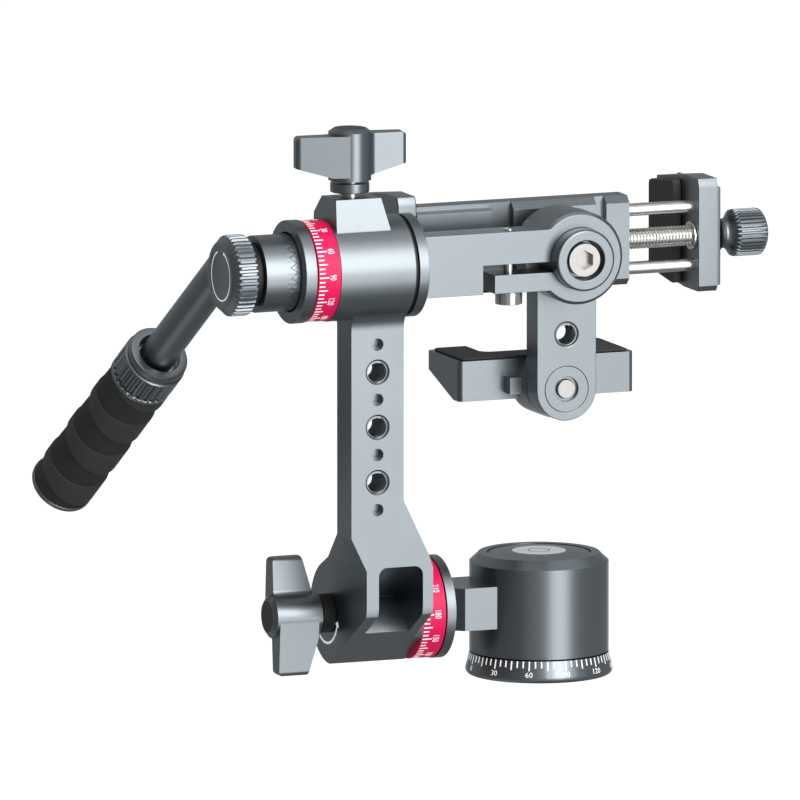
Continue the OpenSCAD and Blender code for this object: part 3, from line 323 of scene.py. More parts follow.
titanium_grey = anodised("titanium_grey", (0.262, 0.288, 0.306), (0.276, 0.303, 0.322), 0.30, 0.37)
slate_grey = anodised("slate_grey", (0.150, 0.164, 0.176), (0.160, 0.175, 0.188), 0.32, 0.40)
dial_red = anodised("dial_red", (0.97, 0.004, 0.115), (1.0, 0.005, 0.128), 0.34, 0.42, 0.05, 0.0)
set_inputs(dial_red, Specular_IOR_Level=0.35)
print("anodised finishes ready")

# %% Steel, brass and the dark gaps
def turned_metal(name, low, high, roughness, stretch):
    """Metal with fine tool rings: noise squeezed along the axis that the tool moves along."""
    material, tree, shader = new_finish(name)
    shader.inputs["Metallic"].default_value = 1.0
    rings = object_noise(tree, 2600, 2.0, stretch)
    two_tone(tree, shader, spread(tree, rings.outputs["Fac"], 0, 1), low, high)
    tree.links.new(spread(tree, rings.outputs["Fac"], roughness * 0.8, roughness * 1.25),
                   shader.inputs["Roughness"])
    grain_bump(tree, shader, rings.outputs["Fac"], 0.06, 0.01)
    return material


steel_bright = turned_metal("steel_bright", (0.74, 0.72, 0.69), (0.86, 0.84, 0.81), 0.20, (1, 0.15, 0.15))
steel_pin = turned_metal("steel_pin", (0.40, 0.39, 0.38), (0.50, 0.49, 0.47), 0.34, (0.2, 1, 0.2))
brass_nut = turned_metal("brass_nut", (0.62, 0.42, 0.16), (0.72, 0.50, 0.22), 0.28, (1, 0.2, 0.2))
print("turned finishes ready")

# %% Rubber, moulded plastic and the level
def moulded(name, low, high, rough_low, rough_high, grain_scale, grain_height, specular=0.5):
    """A non-metal with a fine moulded texture and slight patches in its colour."""
    material, tree, shader = new_finish(name)
    shader.inputs["Specular IOR Level"].default_value = specular
    patches = object_noise(tree, 120, 3.0)
    two_tone(tree, shader, spread(tree, patches.outputs["Fac"], 0, 1), low, high)
    grain = object_noise(tree, grain_scale, 2.0)
    tree.links.new(spread(tree, grain.outputs["Fac"], rough_low, rough_high), shader.inputs["Roughness"])
    grain_bump(tree, shader, grain.outputs["Fac"], 0.25, grain_height)
    return material


rubber_dark = moulded("rubber_dark", (0.054, 0.054, 0.055), (0.060, 0.059, 0.059), 0.62, 0.78, 4200, 0.03)
# A darker copy of the rubber for the sunk bands between the grip's panels: its darker colour is painted
# shade.
rubber_recess_shade = moulded("rubber_recess_shade", (0.040, 0.040, 0.041), (0.044, 0.044, 0.044), 0.70, 0.84, 4200,
                        0.03, specular=0.3)
plastic_black = moulded("plastic_black", (0.012, 0.012, 0.013), (0.018, 0.018, 0.019), 0.42, 0.55, 3200, 0.02)
cap_plastic = moulded("cap_plastic", (0.040, 0.040, 0.041), (0.048, 0.048, 0.049), 0.45, 0.56, 3200, 0.02)
ivory_plastic = moulded("ivory_plastic", (0.70, 0.68, 0.60), (0.76, 0.74, 0.67), 0.40, 0.52, 2400, 0.02)
glowing_white_paint = moulded("glowing_white_paint", (0.90, 0.90, 0.90), (0.95, 0.95, 0.95), 0.45, 0.58, 5200, 0.01)
# The white paint also glows with a strength of 0.4, a painted brightening: the marks glow though they are no
# lamp.
set_inputs(glowing_white_paint, Emission_Color=(1, 1, 1, 1), Emission_Strength=0.4)
glowing_level_liquid = moulded("glowing_level_liquid", (0.88, 0.89, 0.88), (0.92, 0.93, 0.92), 0.12, 0.18, 1800, 0.004)
# The liquid also glows with a strength of 0.1, painted light: it brightens though it is no lamp.
set_inputs(glowing_level_liquid, Coat_Weight=0.6, Emission_Color=(1, 1, 1, 1), Emission_Strength=0.1)
level_mark = moulded("level_mark", (0.04, 0.04, 0.04), (0.06, 0.06, 0.06), 0.30, 0.42, 1800, 0.004)
print("moulded finishes ready")

# %% Which node has which finish
FINISH_OF_SLOT = {
    "titanium_anodised": titanium_grey, "dark_anodised": slate_grey, "red_anodised": dial_red,
    "bright_steel": steel_bright, "rubber": rubber_dark, "black_plastic": plastic_black,
    "brake_plastic": ivory_plastic, "vial": glowing_level_liquid, "brass": brass_nut}
FINISH_OF_NODE = {
    "pan_base": titanium_grey, "level_cap": titanium_grey, "upper_knob_spacer": titanium_grey,
    "jaw_end_plate": slate_grey, "grip_collar": titanium_grey, "grip_end_cap": titanium_grey,
    "shelf_pin": steel_pin, "spindle_screw": steel_pin, "pinch_screw": steel_bright,
    "lower_knob_cap": cap_plastic, "upper_knob_cap": cap_plastic,
    "fixed_rosette": titanium_grey, "handle_rosette": titanium_grey, "shelf_pad": rubber_dark}
slot_of = {s["node"]: s["material_slot"] for s in frame["record"]["subparts"]}


def finish_of(node):
    """The finish that a node wears."""
    return FINISH_OF_NODE.get(node, FINISH_OF_SLOT[slot_of[node]])


for name, node_object in nodes.items():
    if not node_object.material_slots:
        node_object.data.materials.append(finish_of(name))
    for holder in node_object.material_slots:
        holder.material = finish_of(name)
print("finishes given to", len(nodes), "nodes")

# %% [markdown]
# ## Broken edges
# A milled part never has a perfectly sharp edge: it is broken with a tiny bevel, and that bevel is what
# draws the bright line round every face in the photograph. The CAD solids have sharp edges, so each
# visible one is replaced by a copy whose loose triangles are merged, whose flat faces are joined, and
# whose sharp edges get a real bevel.

# %% Copy a node with broken edges
body_of = {n: b for b, names in frame["record"]["behaviour"]["bodies"].items() for n in names}


def broken_edges(node, width_mm, segments=2, angle=26, material=None, flat_join=True):
    """Merges the node's triangles, joins those that lie in one plane, and bevels edges sharper than angle."""
    shape = bmesh.new()
    shape.from_mesh(nodes[node].data)
    bmesh.ops.remove_doubles(shape, verts=shape.verts, dist=2e-6)
    bmesh.ops.dissolve_degenerate(shape, edges=shape.edges, dist=1e-6)
    if flat_join:
        bmesh.ops.dissolve_limit(shape, angle_limit=math.radians(0.4), verts=shape.verts, edges=shape.edges)
    bmesh.ops.recalc_face_normals(shape, faces=shape.faces)
    for face in shape.faces:
        face.smooth = True
    mesh = bpy.data.meshes.new(node + "_machined")
    shape.to_mesh(mesh)
    shape.free()
    mesh.materials.append(material or finish_of(node))
    piece = bpy.data.objects.new(node + "_machined", mesh)
    scene.collection.objects.link(piece)
    bevel = piece.modifiers.new("broken_edge", "BEVEL")
    bevel.width, bevel.segments = width_mm * MM, segments
    bevel.limit_method, bevel.angle_limit = "ANGLE", math.radians(angle)
    bevel.harden_normals = False
    bevel.use_clamp_overlap = True
    bevel.miter_outer = "MITER_ARC"
    weight = piece.modifiers.new("flat_faces", "WEIGHTED_NORMAL")
    weight.mode, weight.keep_sharp, weight.weight = "FACE_AREA_WITH_ANGLE", False, 90
    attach(piece, body_of[node])
    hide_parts(node)
    return piece


EDGE_MM = {
    "pan_base": 0.15, "pan_housing": 0.25, "level_cap": 0.25, "arm": 0.3, "cradle_arm": 0.3,
    "left_flange": 0.3, "swivel_spindle": 0.3, "link": 0.3, "pivot_washer": 0.12, "clamp_rail": 0.3,
    "fixed_jaw": 0.45, "moving_jaw": 0.45, "jaw_end_plate": 0.3, "phone_shelf": 0.35, "shelf_pad": 0.3,
    "fixed_jaw_pad": 0.6, "moving_jaw_pad": 0.6, "handle_barrel": 0.15, "lower_scale_ring": 0.12,
    "upper_scale_ring": 0.12, "upper_knob_spacer": 0.3, "lower_knob_spacer": 0.3, "lower_knob_cap": 0.15,
    "upper_knob_cap": 0.15, "spindle_screw": 0.15, "pinch_screw": 0.25, "shelf_pin": 0.2, "guide_rods": 0.15,
    "seam_washer": 0.1, "screw_washer": 0.1, "lock_spacer": 0.1, "handle_rod": 0.15, "grip_end_cap": 0.3}
for node, width in EDGE_MM.items():
    broken_edges(node, width)
print(len(EDGE_MM), "nodes with broken edges")

# %% Wing knobs, tumbled rounder than the milled parts
for node in ("lower_wing_knob", "upper_wing_knob"):
    broken_edges(node, 0.7, segments=4, angle=24)
print("wing knobs rounded")

# %% [markdown]
# ## Surfaces of two parameters
# Knobs, threads and the grip are all turned shapes: a radius that depends on how far along the axis a
# point is and on the angle round it. A spin of a profile can't make ridges or threads, so the radius is
# worked out as one array over a grid of both parameters. The same grid gives the faces, and rows that
# shrink to a point are merged into a pole.

# %% A grid of points becomes a piece
def surface(name, points_mm, body, material, replaced=None, ring=False, sharp=35):
    """Closed surface from a (rows, columns, 3) array in millimetres. Columns always close round; rows
    close too when ring is set, and otherwise the first and last rows are poles. Edges sharper than sharp
    degrees stay crisp."""
    rows, columns = points_mm.shape[:2]
    index = np.arange(rows * columns).reshape(rows, columns)
    right = np.roll(index, -1, axis=1)
    up, up_right = np.roll(index, -1, axis=0), np.roll(right, -1, axis=0)
    quads = np.stack((index, right, up_right, up), axis=-1)
    quads = (quads if ring else quads[:-1]).reshape(-1, 4)
    raw = bpy.data.meshes.new(name)
    raw.from_pydata((points_mm.reshape(-1, 3) * MM).tolist(), [], quads.tolist())
    shape = bmesh.new()
    shape.from_mesh(raw)
    bmesh.ops.remove_doubles(shape, verts=shape.verts, dist=1e-7)
    bmesh.ops.recalc_face_normals(shape, faces=shape.faces)
    shape.to_mesh(raw)
    shape.free()
    raw.polygons.foreach_set("use_smooth", np.ones(len(raw.polygons), dtype=bool))
    raw.set_sharp_from_angle(angle=math.radians(sharp))
    raw.materials.append(material)
    piece = bpy.data.objects.new(name, raw)
    scene.collection.objects.link(piece)
    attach(piece, body)
    if replaced:
        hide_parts(replaced)
    print(name, len(raw.polygons), "faces")
    return piece


def turned(profile, columns, cut=None):
    """Grid of (along, radius) rows carried round. cut(along, angle) gives the largest radius allowed
    there, so a flute is where the cut is lower than the profile. Returns local points: radius in X and Y,
    along in Z."""
    along, radius = np.array(profile, dtype=float).T[:, :, None]
    angle = np.linspace(0, 2 * np.pi, columns, endpoint=False)[None, :]
    radius = np.broadcast_to(radius, (len(profile), columns))
    if cut is not None:
        radius = np.minimum(radius, cut(along, angle))
    return np.stack((radius * np.cos(angle), radius * np.sin(angle), along + 0 * angle), axis=-1)


def stand(points, origin, axis, start):
    """Puts local points where the axis runs from origin, with angle 0 towards start."""
    axis, start = np.array(axis, dtype=float), np.array(start, dtype=float)
    axis /= np.linalg.norm(axis)
    start -= axis * (start @ axis)
    start /= np.linalg.norm(start)
    return np.array(origin) + points @ np.stack((start, np.cross(axis, start), axis))


def rows_between(first, last, count):
    """Evenly spaced rows from one (along, radius) to the next, both ends included."""
    return list(np.linspace(first, last, count))


print("surface helpers ready")

# %% [markdown]
# ## Knurled knobs
# A straight knurl is a row of small flutes rolled or milled along the rim. Each flute takes the metal
# down to a fixed radius, so where the rim is bevelled the flute runs out by itself. The cut below is
# that radius: a rounded wave with one valley per ridge, and the profile is cut by it wherever it stands
# higher.

# %% The two knurled knobs
def flutes(radius, depth, count, steepness=2.2):
    """cut function: radius less depth in the valleys. A cosine, steepened and clipped, gives flat ridges."""
    def cut(along, angle):
        wave = np.clip(0.5 - 0.5 * steepness * np.cos(count * angle), 0, 1)
        return radius - depth * wave + 0 * along
    return cut


AXIS_Y, UPPER_Z = -23.1, 124.0
LOCK_X, LOCK_R, LOCK_W, LOCK_BORE = -107.2, 11.6, 7.7, 5.05
lock_profile = [
    (1.9, 0), (1.9, LOCK_BORE), (LOCK_W, LOCK_BORE), (LOCK_W, LOCK_R - 0.9), (LOCK_W - 0.25, LOCK_R - 0.45),
    (LOCK_W - 0.5, LOCK_R - 0.12), (LOCK_W - 0.8, LOCK_R), *rows_between((6.5, LOCK_R), (2.3, LOCK_R), 4),
    (2.1, LOCK_R - 0.08), (1.9, LOCK_R - 0.3), (1.5, LOCK_R - 0.75), (0.25, LOCK_R - 1.85),
    (0.08, LOCK_R - 2.05), (0, LOCK_R - 2.3), (0, 7.85), (0.06, 7.72), (0.24, 7.66), (0.3, 7.5), (0.3, 0)]
KNURL_DEPTH = 0.55
lock_rim = turned(lock_profile, 480, flutes(LOCK_R, KNURL_DEPTH, 40))
surface("lock_knob_knurled", stand(lock_rim, (LOCK_X, AXIS_Y, UPPER_Z), (1, 0, 0), (0, 0, 1)),
        body_of["lock_knob"], titanium_grey, "lock_knob")

CLAMP_X, CLAMP_R, CLAMP_L, LEAD_Y = 53.6, 6.8, 14.2, -2.2
NECK_MIDDLE, NECK_R = 2.1, 4.2
neck = [(z, NECK_R + 1.15 * abs(z / NECK_MIDDLE - 1) ** 2.2 + 0.75 * max(z - NECK_MIDDLE, 0) / 2.6)
        for z in np.linspace(0.3, 4.7, 9)]
clamp_profile = [
    (7.7, 0), (7.7, 3.0), (0, 3.0), (0, 5.15), (0.12, 5.35), *neck, (4.75, 6.25), (5.3, CLAMP_R - 0.12),
    (5.5, CLAMP_R), *rows_between((5.9, CLAMP_R), (12.3, CLAMP_R), 5), (12.9, CLAMP_R - 0.1),
    (13.3, CLAMP_R - 0.5), (13.9, CLAMP_R - 1.3), (14.1, CLAMP_R - 1.6), (CLAMP_L, CLAMP_R - 2.0),
    (CLAMP_L, 0)]
clamp_rim = turned(clamp_profile, 384, flutes(CLAMP_R, KNURL_DEPTH, 32))
surface("clamp_knob_knurled", stand(clamp_rim, (CLAMP_X, LEAD_Y, UPPER_Z), (1, 0, 0), (0, 0, 1)),
        body_of["clamp_knob"], titanium_grey, "clamp_knob")

# %% [markdown]
# ## Threads
# A screw thread seen from the side is a wave along the axis whose phase turns once round for each pitch.
# That is one line of mathematics on the same grid. The lead screw carries it outside, and each threaded
# hole is lined with a closed ring that carries it inside.

# %% Lead screw and the threaded holes
def thread_wave(along, angle, pitch):
    """0 at the root and 1 at the crest of a right-hand V thread, with a narrow flat at both."""
    turn = along / pitch - angle / (2 * np.pi)
    return np.clip((np.abs(2 * (turn % 1) - 1) - 0.1) / 0.8, 0, 1)


def outer_thread(length, crest, root, pitch, columns=36):
    """Threaded rod with closed ends: radius between root and crest by the wave, 8 rows to a turn."""
    z = np.linspace(0, length, int(length / pitch * 8))[:, None]
    angle = np.linspace(0, 2 * np.pi, columns, endpoint=False)[None, :]
    radius = root + (crest - root) * thread_wave(z, angle, pitch)
    body = np.stack((radius * np.cos(angle), radius * np.sin(angle), z + 0 * angle), axis=-1)
    ends = np.zeros((2, 1, columns, 3))
    ends[1, ..., 2] = length
    return np.concatenate((ends[0], body, ends[1]))


def inner_thread(length, root, crest, wall, pitch, columns=48):
    """Lining of a threaded hole: the wave faces inwards, and an outer wall closes the ring inside the
    metal."""
    z = np.linspace(0, length, int(length / pitch * 8))[:, None]
    angle = np.linspace(0, 2 * np.pi, columns, endpoint=False)[None, :]
    radius = root - (root - crest) * thread_wave(z, angle, pitch)
    bore = np.stack((radius * np.cos(angle), radius * np.sin(angle), z + 0 * angle), axis=-1)
    outer = np.stack((wall * np.cos(angle) + 0 * z, wall * np.sin(angle) + 0 * z, z + 0 * angle), axis=-1)
    return np.concatenate((bore, outer[[-1, 0]]))


LEAD_X0, LEAD_X1, LEAD_R, LEAD_DEPTH, LEAD_PITCH = 0.9, 61.3, 3.0, 0.6, 1.0
lead_thread = outer_thread(LEAD_X1 - LEAD_X0, LEAD_R, LEAD_R - LEAD_DEPTH, LEAD_PITCH)
surface("lead_screw_threaded", stand(lead_thread, (LEAD_X0, LEAD_Y, UPPER_Z), (1, 0, 0), (0, 0, 1)),
        body_of["lead_screw"], steel_bright, "lead_screw", sharp=80)

HOLE_ROOT, HOLE_CREST, HOLE_WALL, HOLE_PITCH = 3.12, 2.6, 3.3, 1.27
ARM_FRONT, ARM_BACK, HOLE_X = -28.6, -17.6, -61.2
# Piece, node, metal, length, origin, axis and the direction of angle 0
LININGS = [(f"arm_thread_{number}", "arm", titanium_grey, ARM_BACK - ARM_FRONT - 0.6,
            (HOLE_X, ARM_FRONT + 0.5, height), (0, 1, 0), (0, 0, 1))
           for number, height in enumerate((62.84, 78.7, 94.56), 1)]
LININGS += [("link_thread", "link", titanium_grey, 7.6, (0, -20.3, 100.7), (0, 1, 0), (0, 0, 1)),
            ("tripod_thread", "tripod_bush", steel_bright, 8.4, (0, 0, 0.5), (0, 0, 1), (1, 0, 0))]
for name, node, metal, length, origin, axis, start in LININGS:
    lining = inner_thread(length, HOLE_ROOT, HOLE_CREST, HOLE_WALL, HOLE_PITCH)
    surface(name, stand(lining, origin, axis, start), body_of[node], metal, ring=True,
            sharp=80)

# %% [markdown]
# ## The grip
# The handle ends in a fluted twist collar and a rubber sleeve. The collar's flutes are milled with a
# ball cutter, so each starts with a round end. The sleeve has raised panels: each panel's upper edge is
# a plain ring, its lower edge is cut at a slant, and below it the rubber drops by half a millimetre and
# rises again. The dropped band wears a darker copy of the rubber, which is painted shade.

# %% Twist collar
BEND = np.array((-93.85, 3.35, 124.0))
ROD_DIR = np.array((-0.13968, 0.74829, -0.64851))
TO_CAMERA = np.array(sight_back)
COLLAR_T, COLLAR_END, COLLAR_MOUTH, GRIP_R = 48.8, 62.0, 6.25, 9.35


FLUTES, FLUTE_DEPTH, FLUTE_TOP, FLUTE_FOOT, FLUTE_END_R = 26, 0.85, 53.0, 59.9, 0.9


def collar_cut(along, angle):
    """The depth of a flute falls off as a circle does towards each of its ends, so the ends are round."""
    phase = (angle * FLUTES / (2 * np.pi) + 0.5) % 1 - 0.5
    end = np.clip(np.maximum(FLUTE_TOP - along, along - FLUTE_FOOT) / FLUTE_END_R, 0, None)
    groove = np.clip(1 - (phase / 0.36) ** 2 - end ** 2, 0, 1) ** 0.6
    return GRIP_R - FLUTE_DEPTH * groove


collar_profile = [
    (COLLAR_T + 0.15, COLLAR_MOUTH), (COLLAR_T, COLLAR_MOUTH + 0.2), (COLLAR_T, 8.35), (COLLAR_T + 0.12, 8.7),
    (COLLAR_T + 0.45, 8.9), (51.1, 8.9), (51.35, 8.8), (51.4, 8.55), (51.65, 8.55), (51.75, 9.05),
    (52.0, GRIP_R), *rows_between((52.15, GRIP_R), (53.2, GRIP_R), 7),
    *rows_between((54.0, GRIP_R), (59.4, GRIP_R), 6),
    (59.7, GRIP_R), (59.85, 9.2), (59.9, 8.3), (60.4, 8.3), (60.45, 9.0), (60.75, 9.3), (61.8, 9.3),
    (61.95, 9.1), (COLLAR_END - 0.02, 8.9), (COLLAR_END - 0.02, COLLAR_MOUTH)]
COLLAR_COLUMNS = 16 * FLUTES
surface("grip_collar_fluted",
        stand(turned(collar_profile, COLLAR_COLUMNS, collar_cut), BEND, ROD_DIR, TO_CAMERA),
        body_of["grip_collar"], titanium_grey, "grip_collar", ring=True)

# %% Rubber sleeve
RUBBER_T, RUBBER_END, SLEEVE_R = 62.3, 117.0, 6.55
PANELS, PANEL_PITCH, FIRST_PANEL, PANEL_L, PANEL_SLANT, PANEL_STEP = 4, 16.4, 56.1, 7.6, 2.8, 0.6
SLEEVE_COLUMNS, PANEL_ROWS, RECESS_ROW = 128, 16, 7


def rubber_points(columns):
    """Rows that bend with the panels' edges: s counts rows within a panel, and each row's place along the rod
    depends on the angle only where it belongs to the slanted edge."""
    angle = np.linspace(0, 2 * np.pi, columns, endpoint=False)
    slant = PANEL_L - PANEL_SLANT * np.sin(angle)
    rows = []
    for k in range(PANELS):
        top = FIRST_PANEL + k * PANEL_PITCH
        edge = top + slant
        following = top + PANEL_PITCH
        rows += [(top + 0 * angle, GRIP_R - 0.22), (top + 0.15 + 0 * angle, GRIP_R - 0.04)]
        rows += [(top + 0.35 + (edge - top - 0.7) * share, GRIP_R) for share in (0, 0.25, 0.5, 0.75, 1)]
        rows += [(edge - 0.12, GRIP_R - 0.05), (edge + 0.03, GRIP_R - 0.2),
                 (edge + 0.22, GRIP_R - PANEL_STEP + 0.06), (edge + 0.5, GRIP_R - PANEL_STEP)]
        rows += [(edge + 0.5 + (following - edge - 0.8) * share,
                  GRIP_R - PANEL_STEP + (PANEL_STEP - 0.3) * share) for share in (0.25, 0.5, 0.75, 1)]
        rows += [(following - 0.12 + 0 * angle, GRIP_R - 0.32)]
    along = np.array([row[0] for row in rows])
    radius = np.array([row[1] for row in rows])[:, None] + 0 * angle
    order = np.arange(len(rows))[:, None]
    along = np.clip(along, RUBBER_T + 0.004 * (order + 1), RUBBER_END - 0.004 * (len(rows) - order))
    outer = np.stack((radius * np.cos(angle), radius * np.sin(angle), along), axis=-1)
    ends = [np.stack((r * np.cos(angle), r * np.sin(angle), t + 0 * angle), axis=-1)
            for t, r in ((RUBBER_T, SLEEVE_R), (RUBBER_T, GRIP_R - 0.45), (RUBBER_END, GRIP_R - 0.45),
                         (RUBBER_END, SLEEVE_R))]
    return np.concatenate((ends[0][None], ends[1][None], outer, ends[2][None], ends[3][None]))


sleeve = surface("grip_rubber_panelled",
                 stand(rubber_points(SLEEVE_COLUMNS), BEND, ROD_DIR, TO_CAMERA),
                 body_of["grip_rubber"], rubber_dark, "grip_rubber", ring=True,
                 sharp=50)
row_of_face = np.arange(len(sleeve.data.polygons)) // SLEEVE_COLUMNS - 2
in_recess = ((row_of_face >= 0) & (row_of_face < PANELS * PANEL_ROWS)
             & (row_of_face % PANEL_ROWS >= RECESS_ROW))
# The sunk band between the panels wears the darker rubber, as painted shade.
sleeve.data.materials.append(rubber_recess_shade)
sleeve.data.polygons.foreach_set("material_index", in_recess.astype(np.int32))
print(int(in_recess.sum()), "faces between the panels")

# %% [markdown]
# ## Dials and arrows
# The marks are printed or filled engravings a few hundredths of a millimetre proud, in a white that also
# glows a little as painted light. Each tick is a tiny bar laid on the ring, all of them worked out
# together, and each number is text made into a mesh and then wrapped round the ring.

# %% Bars and numbers
BAR_CORNERS = np.array([(x, y, z) for x in (-1, 1) for y in (-1, 1) for z in (-1, 1)])
BAR_FACES = np.array([(0, 1, 3, 2), (4, 6, 7, 5), (0, 4, 5, 1), (2, 3, 7, 6), (0, 2, 6, 4), (1, 5, 7, 3)])


def bars(centres, along, across, out):
    """Closed bars: half-length vectors along, across and out for each centre, as (n, 3) arrays."""
    frame_axes = np.stack((along, across, out), axis=1)
    points = centres[:, None, :] + BAR_CORNERS @ frame_axes
    faces = BAR_FACES + 8 * np.arange(len(centres))[:, None, None]
    return points.reshape(-1, 3), faces.reshape(-1, 4).tolist()


def number_shape(text, height, digit_width):
    """Text as a mesh: x across and y up in millimetres, centred on x, with its foot at y 0 and z 0 or 1
    for its back and front."""
    curve = bpy.data.curves.new("number", "FONT")
    curve.body, curve.extrude, curve.resolution_u = text, 0.5, 3
    writer = bpy.data.objects.new("number", curve)
    scene.collection.objects.link(writer)
    bpy.context.view_layer.update()
    mesh = bpy.data.meshes.new_from_object(writer.evaluated_get(bpy.context.evaluated_depsgraph_get()))
    shape = bmesh.new()
    shape.from_mesh(mesh)
    bmesh.ops.remove_doubles(shape, verts=shape.verts, dist=1e-5)
    shape.to_mesh(mesh)
    shape.free()
    points = np.empty(len(mesh.vertices) * 3)
    mesh.vertices.foreach_get("co", points)
    points = points.reshape(-1, 3)
    faces = [list(face.vertices) for face in mesh.polygons]
    bpy.data.objects.remove(writer)
    bpy.data.curves.remove(curve)
    bpy.data.meshes.remove(mesh)
    low, high = points.min(axis=0), points.max(axis=0)
    points[:, 0] = (points[:, 0] - (low[0] + high[0]) / 2) * len(text) * digit_width / (high[0] - low[0])
    points[:, 1] = (points[:, 1] - low[1]) * height / (high[1] - low[1])
    points[:, 2] += 0.5
    return points, faces


def marks(name, parts, body):
    """One painted piece from several (points, faces) pairs in millimetres."""
    starts = np.cumsum([0] + [len(points) for points, _ in parts[:-1]])
    faces = [[int(start) + corner for corner in face] for start, part in zip(starts, parts)
             for face in part[1]]
    mesh = bpy.data.meshes.new(name)
    mesh.from_pydata((np.concatenate([points for points, _ in parts]) * MM).tolist(), [], faces)
    shape = bmesh.new()
    shape.from_mesh(mesh)
    bmesh.ops.recalc_face_normals(shape, faces=shape.faces)
    shape.to_mesh(mesh)
    shape.free()
    # The marks wear the white that glows as painted light.
    mesh.materials.append(glowing_white_paint)
    piece = bpy.data.objects.new(name, mesh)
    scene.collection.objects.link(piece)
    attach(piece, body)
    print(name, len(faces), "faces")
    return piece


MARK_SINK, MARK_PROUD = 0.06, 0.03
DEGREES = np.arange(0, 360, 5)


def tick_lengths(short, middle, long):
    """Length of each tick: long every 30 degrees, middle every 15, short between."""
    return np.where(DEGREES % 30 == 0, long, np.where(DEGREES % 15 == 0, middle, short))


print("mark helpers ready")

# %% Degree rings of both tilt axes
RING_R, RING_TICK_IN, RING_TICK_W = 14.5, 0.3, 0.4


def ring_marks(name, node, left_x, axis_y, axis_z, angle_of):
    """Marks round an axis along X. An angle of 0 faces -Y and grows upwards; angle_of turns a dial number
    into it. Numbers stand with their tops towards +X and read downwards on the front."""
    a = np.radians(angle_of(DEGREES))
    out = np.stack((0 * a, -np.cos(a), np.sin(a)), axis=-1)
    across = np.stack((0 * a, np.sin(a), np.cos(a)), axis=-1)
    lengths = tick_lengths(1.7, 2.6, 2.85)
    centres = (np.array((left_x + RING_TICK_IN, axis_y, axis_z))
               + out * (RING_R + (MARK_PROUD - MARK_SINK) / 2))
    centres[:, 0] += lengths / 2
    along = np.stack((lengths / 2, 0 * a, 0 * a), axis=-1)
    parts = [bars(centres, along, across * RING_TICK_W / 2, out * (MARK_PROUD + MARK_SINK) / 2)]
    for number in range(0, 360, 30):
        points, faces = number_shape(str(number), 1.9, 0.78)
        turn = math.radians(angle_of(number)) - points[:, 0] / RING_R
        radius = RING_R - MARK_SINK + points[:, 2] * (MARK_SINK + MARK_PROUD)
        foot = left_x + RING_TICK_IN + 2.85 + 0.35
        parts.append((np.stack((foot + points[:, 1], axis_y - radius * np.cos(turn),
                                axis_z + radius * np.sin(turn)), axis=-1), faces))
    return marks(name, parts, body_of[node])


ring_marks("upper_ring_marks", "upper_scale_ring", -82.7, AXIS_Y, UPPER_Z, lambda n: 90 - n)
ring_marks("lower_ring_marks", "lower_scale_ring", -41.3, 0.0, 21.2, lambda n: n - 180)

# %% Degree scale on the flare of the pan base
FLARE_TOP, FLARE_FOOT = np.array((19.95, 6.4)), np.array((21.1, 1.7))
FLARE_L = float(np.linalg.norm(FLARE_FOOT - FLARE_TOP))
FLARE_DOWN = (FLARE_FOOT - FLARE_TOP) / FLARE_L
FLARE_OUT = np.array((-FLARE_DOWN[1], FLARE_DOWN[0]))


def flare_point(turn, down, proud):
    """Point on the flare: turn is the azimuth from -Y towards +X, down the distance from its top edge."""
    place = FLARE_TOP + np.multiply.outer(down, FLARE_DOWN) + np.multiply.outer(proud, FLARE_OUT)
    return np.stack((place[..., 0] * np.sin(turn), -place[..., 0] * np.cos(turn), place[..., 1]), axis=-1)


NUMBER_FOOT = 4.7
turn = np.radians(DEGREES - 90)
lengths = tick_lengths(2.0, 2.7, 2.8)
top, foot = flare_point(turn, 0 * turn + 0.12, 0 * turn), flare_point(turn, lengths, 0 * turn)
across = np.stack((np.cos(turn), np.sin(turn), 0 * turn), axis=-1)
out = flare_point(turn, 0 * turn, 0 * turn + 1) - flare_point(turn, 0 * turn, 0 * turn)
parts = [bars((top + foot) / 2 + out * (MARK_PROUD - MARK_SINK) / 2, (foot - top) / 2, across * 0.2,
              out * (MARK_PROUD + MARK_SINK) / 2)]
for number in range(0, 360, 30):
    points, faces = number_shape(str(number), 1.5, 1.0)
    number_turn = math.radians(number - 90) + points[:, 0] / FLARE_TOP[0]
    raised = points[:, 2] * (MARK_SINK + MARK_PROUD) - MARK_SINK
    parts.append((flare_point(number_turn, NUMBER_FOOT - points[:, 1], raised), faces))
marks("pan_scale_marks", parts, body_of["pan_base"])

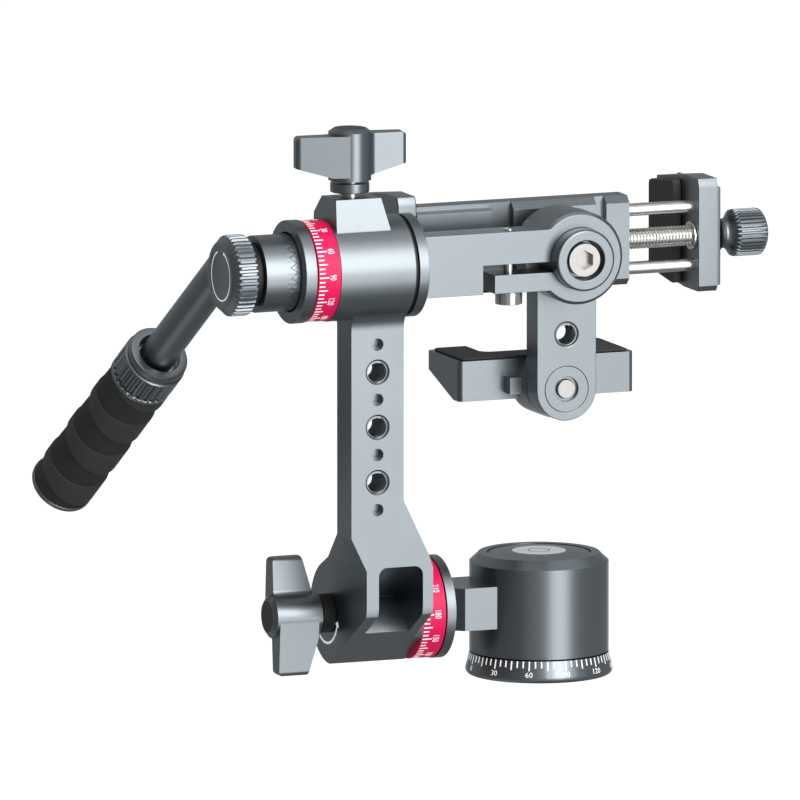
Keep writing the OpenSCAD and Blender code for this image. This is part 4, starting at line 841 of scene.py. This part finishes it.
# %% Arrows and rings painted on flat faces
def painted_line(centre, half_width, normal_x, side):
    """Ribbon on a face of constant X: centre line in Y and Z, a half width for each of its points, closed all
    round. side is -1 where the face looks towards -X."""
    step = np.gradient(centre, axis=0)
    across = np.stack((-step[:, 1], step[:, 0]), axis=-1)
    across /= np.linalg.norm(across, axis=1)[:, None]
    left, right = centre + across * half_width[:, None], centre - across * half_width[:, None]
    sunk, proud = normal_x - side * MARK_SINK, normal_x + side * MARK_PROUD
    corners = [np.column_stack((np.full(len(edge), x), edge)) for x, edge in
               ((sunk, left), (proud, left), (proud, right), (sunk, right))]
    points = np.stack(corners, axis=1)
    index = np.arange(points.shape[0] * 4).reshape(-1, 4)
    around = np.roll(index, -1, axis=1)
    quads = np.stack((index[:-1], around[:-1], around[1:], index[1:]), axis=-1).reshape(-1, 4).tolist()
    return points.reshape(-1, 3), quads + [index[0].tolist(), index[-1][::-1].tolist()]


def arc_points(centre, radius, first, last, count):
    """Points on a circle in Y and Z from one angle to another, in degrees, 0 along +Y."""
    a = np.radians(np.linspace(first, last, count))
    return np.array(centre) + radius * np.stack((np.cos(a), np.sin(a)), axis=-1)


def painted_arrow(name, node, face_x, centre, radius, tail, neck, tip, half_widths, count):
    """Arc from tail to neck, then a head that narrows from neck to tip, on a face that looks towards -X.
    Angles are in degrees, and half_widths are the arc's and the head's."""
    arc = arc_points(centre, radius, tail, neck, count)
    head = arc_points(centre, radius, neck, tip, 8)
    marks(name, [painted_line(arc, np.full(count, half_widths[0]), face_x, -1),
                 painted_line(head, np.linspace(half_widths[1], 0.02, 8), face_x, -1)], body_of[node])


YOKE_FACE_X, LOCK_FACE_X = -64.5, LOCK_X + 0.3
painted_arrow("yoke_arrow", "arm", YOKE_FACE_X, (2.5, 21.0), 8.8, -57, -162, -171, (0.36, 1.4), 40)
painted_arrow("lock_knob_arrow", "lock_knob", LOCK_FACE_X, (AXIS_Y, UPPER_Z), 7.05, 430, 112, 104,
              (0.2, 0.6), 90)

# %% Ring of the level
LEVEL_TOP, LEVEL_RING_IN, LEVEL_RING_OUT, LEVEL_RING_SINK = 35.4, 2.91, 3.18, 0.24
ring_low, ring_high = LEVEL_TOP - LEVEL_RING_SINK, LEVEL_TOP + MARK_PROUD
ring_profile = [(ring_low, LEVEL_RING_IN), (ring_high, LEVEL_RING_IN), (ring_high, LEVEL_RING_OUT),
                (ring_low, LEVEL_RING_OUT)]
surface("level_ring", stand(turned(ring_profile, 96), (0, 0, 0), (0, 0, 1), (1, 0, 0)), body_of["level_vial"],
        level_mark, ring=True)
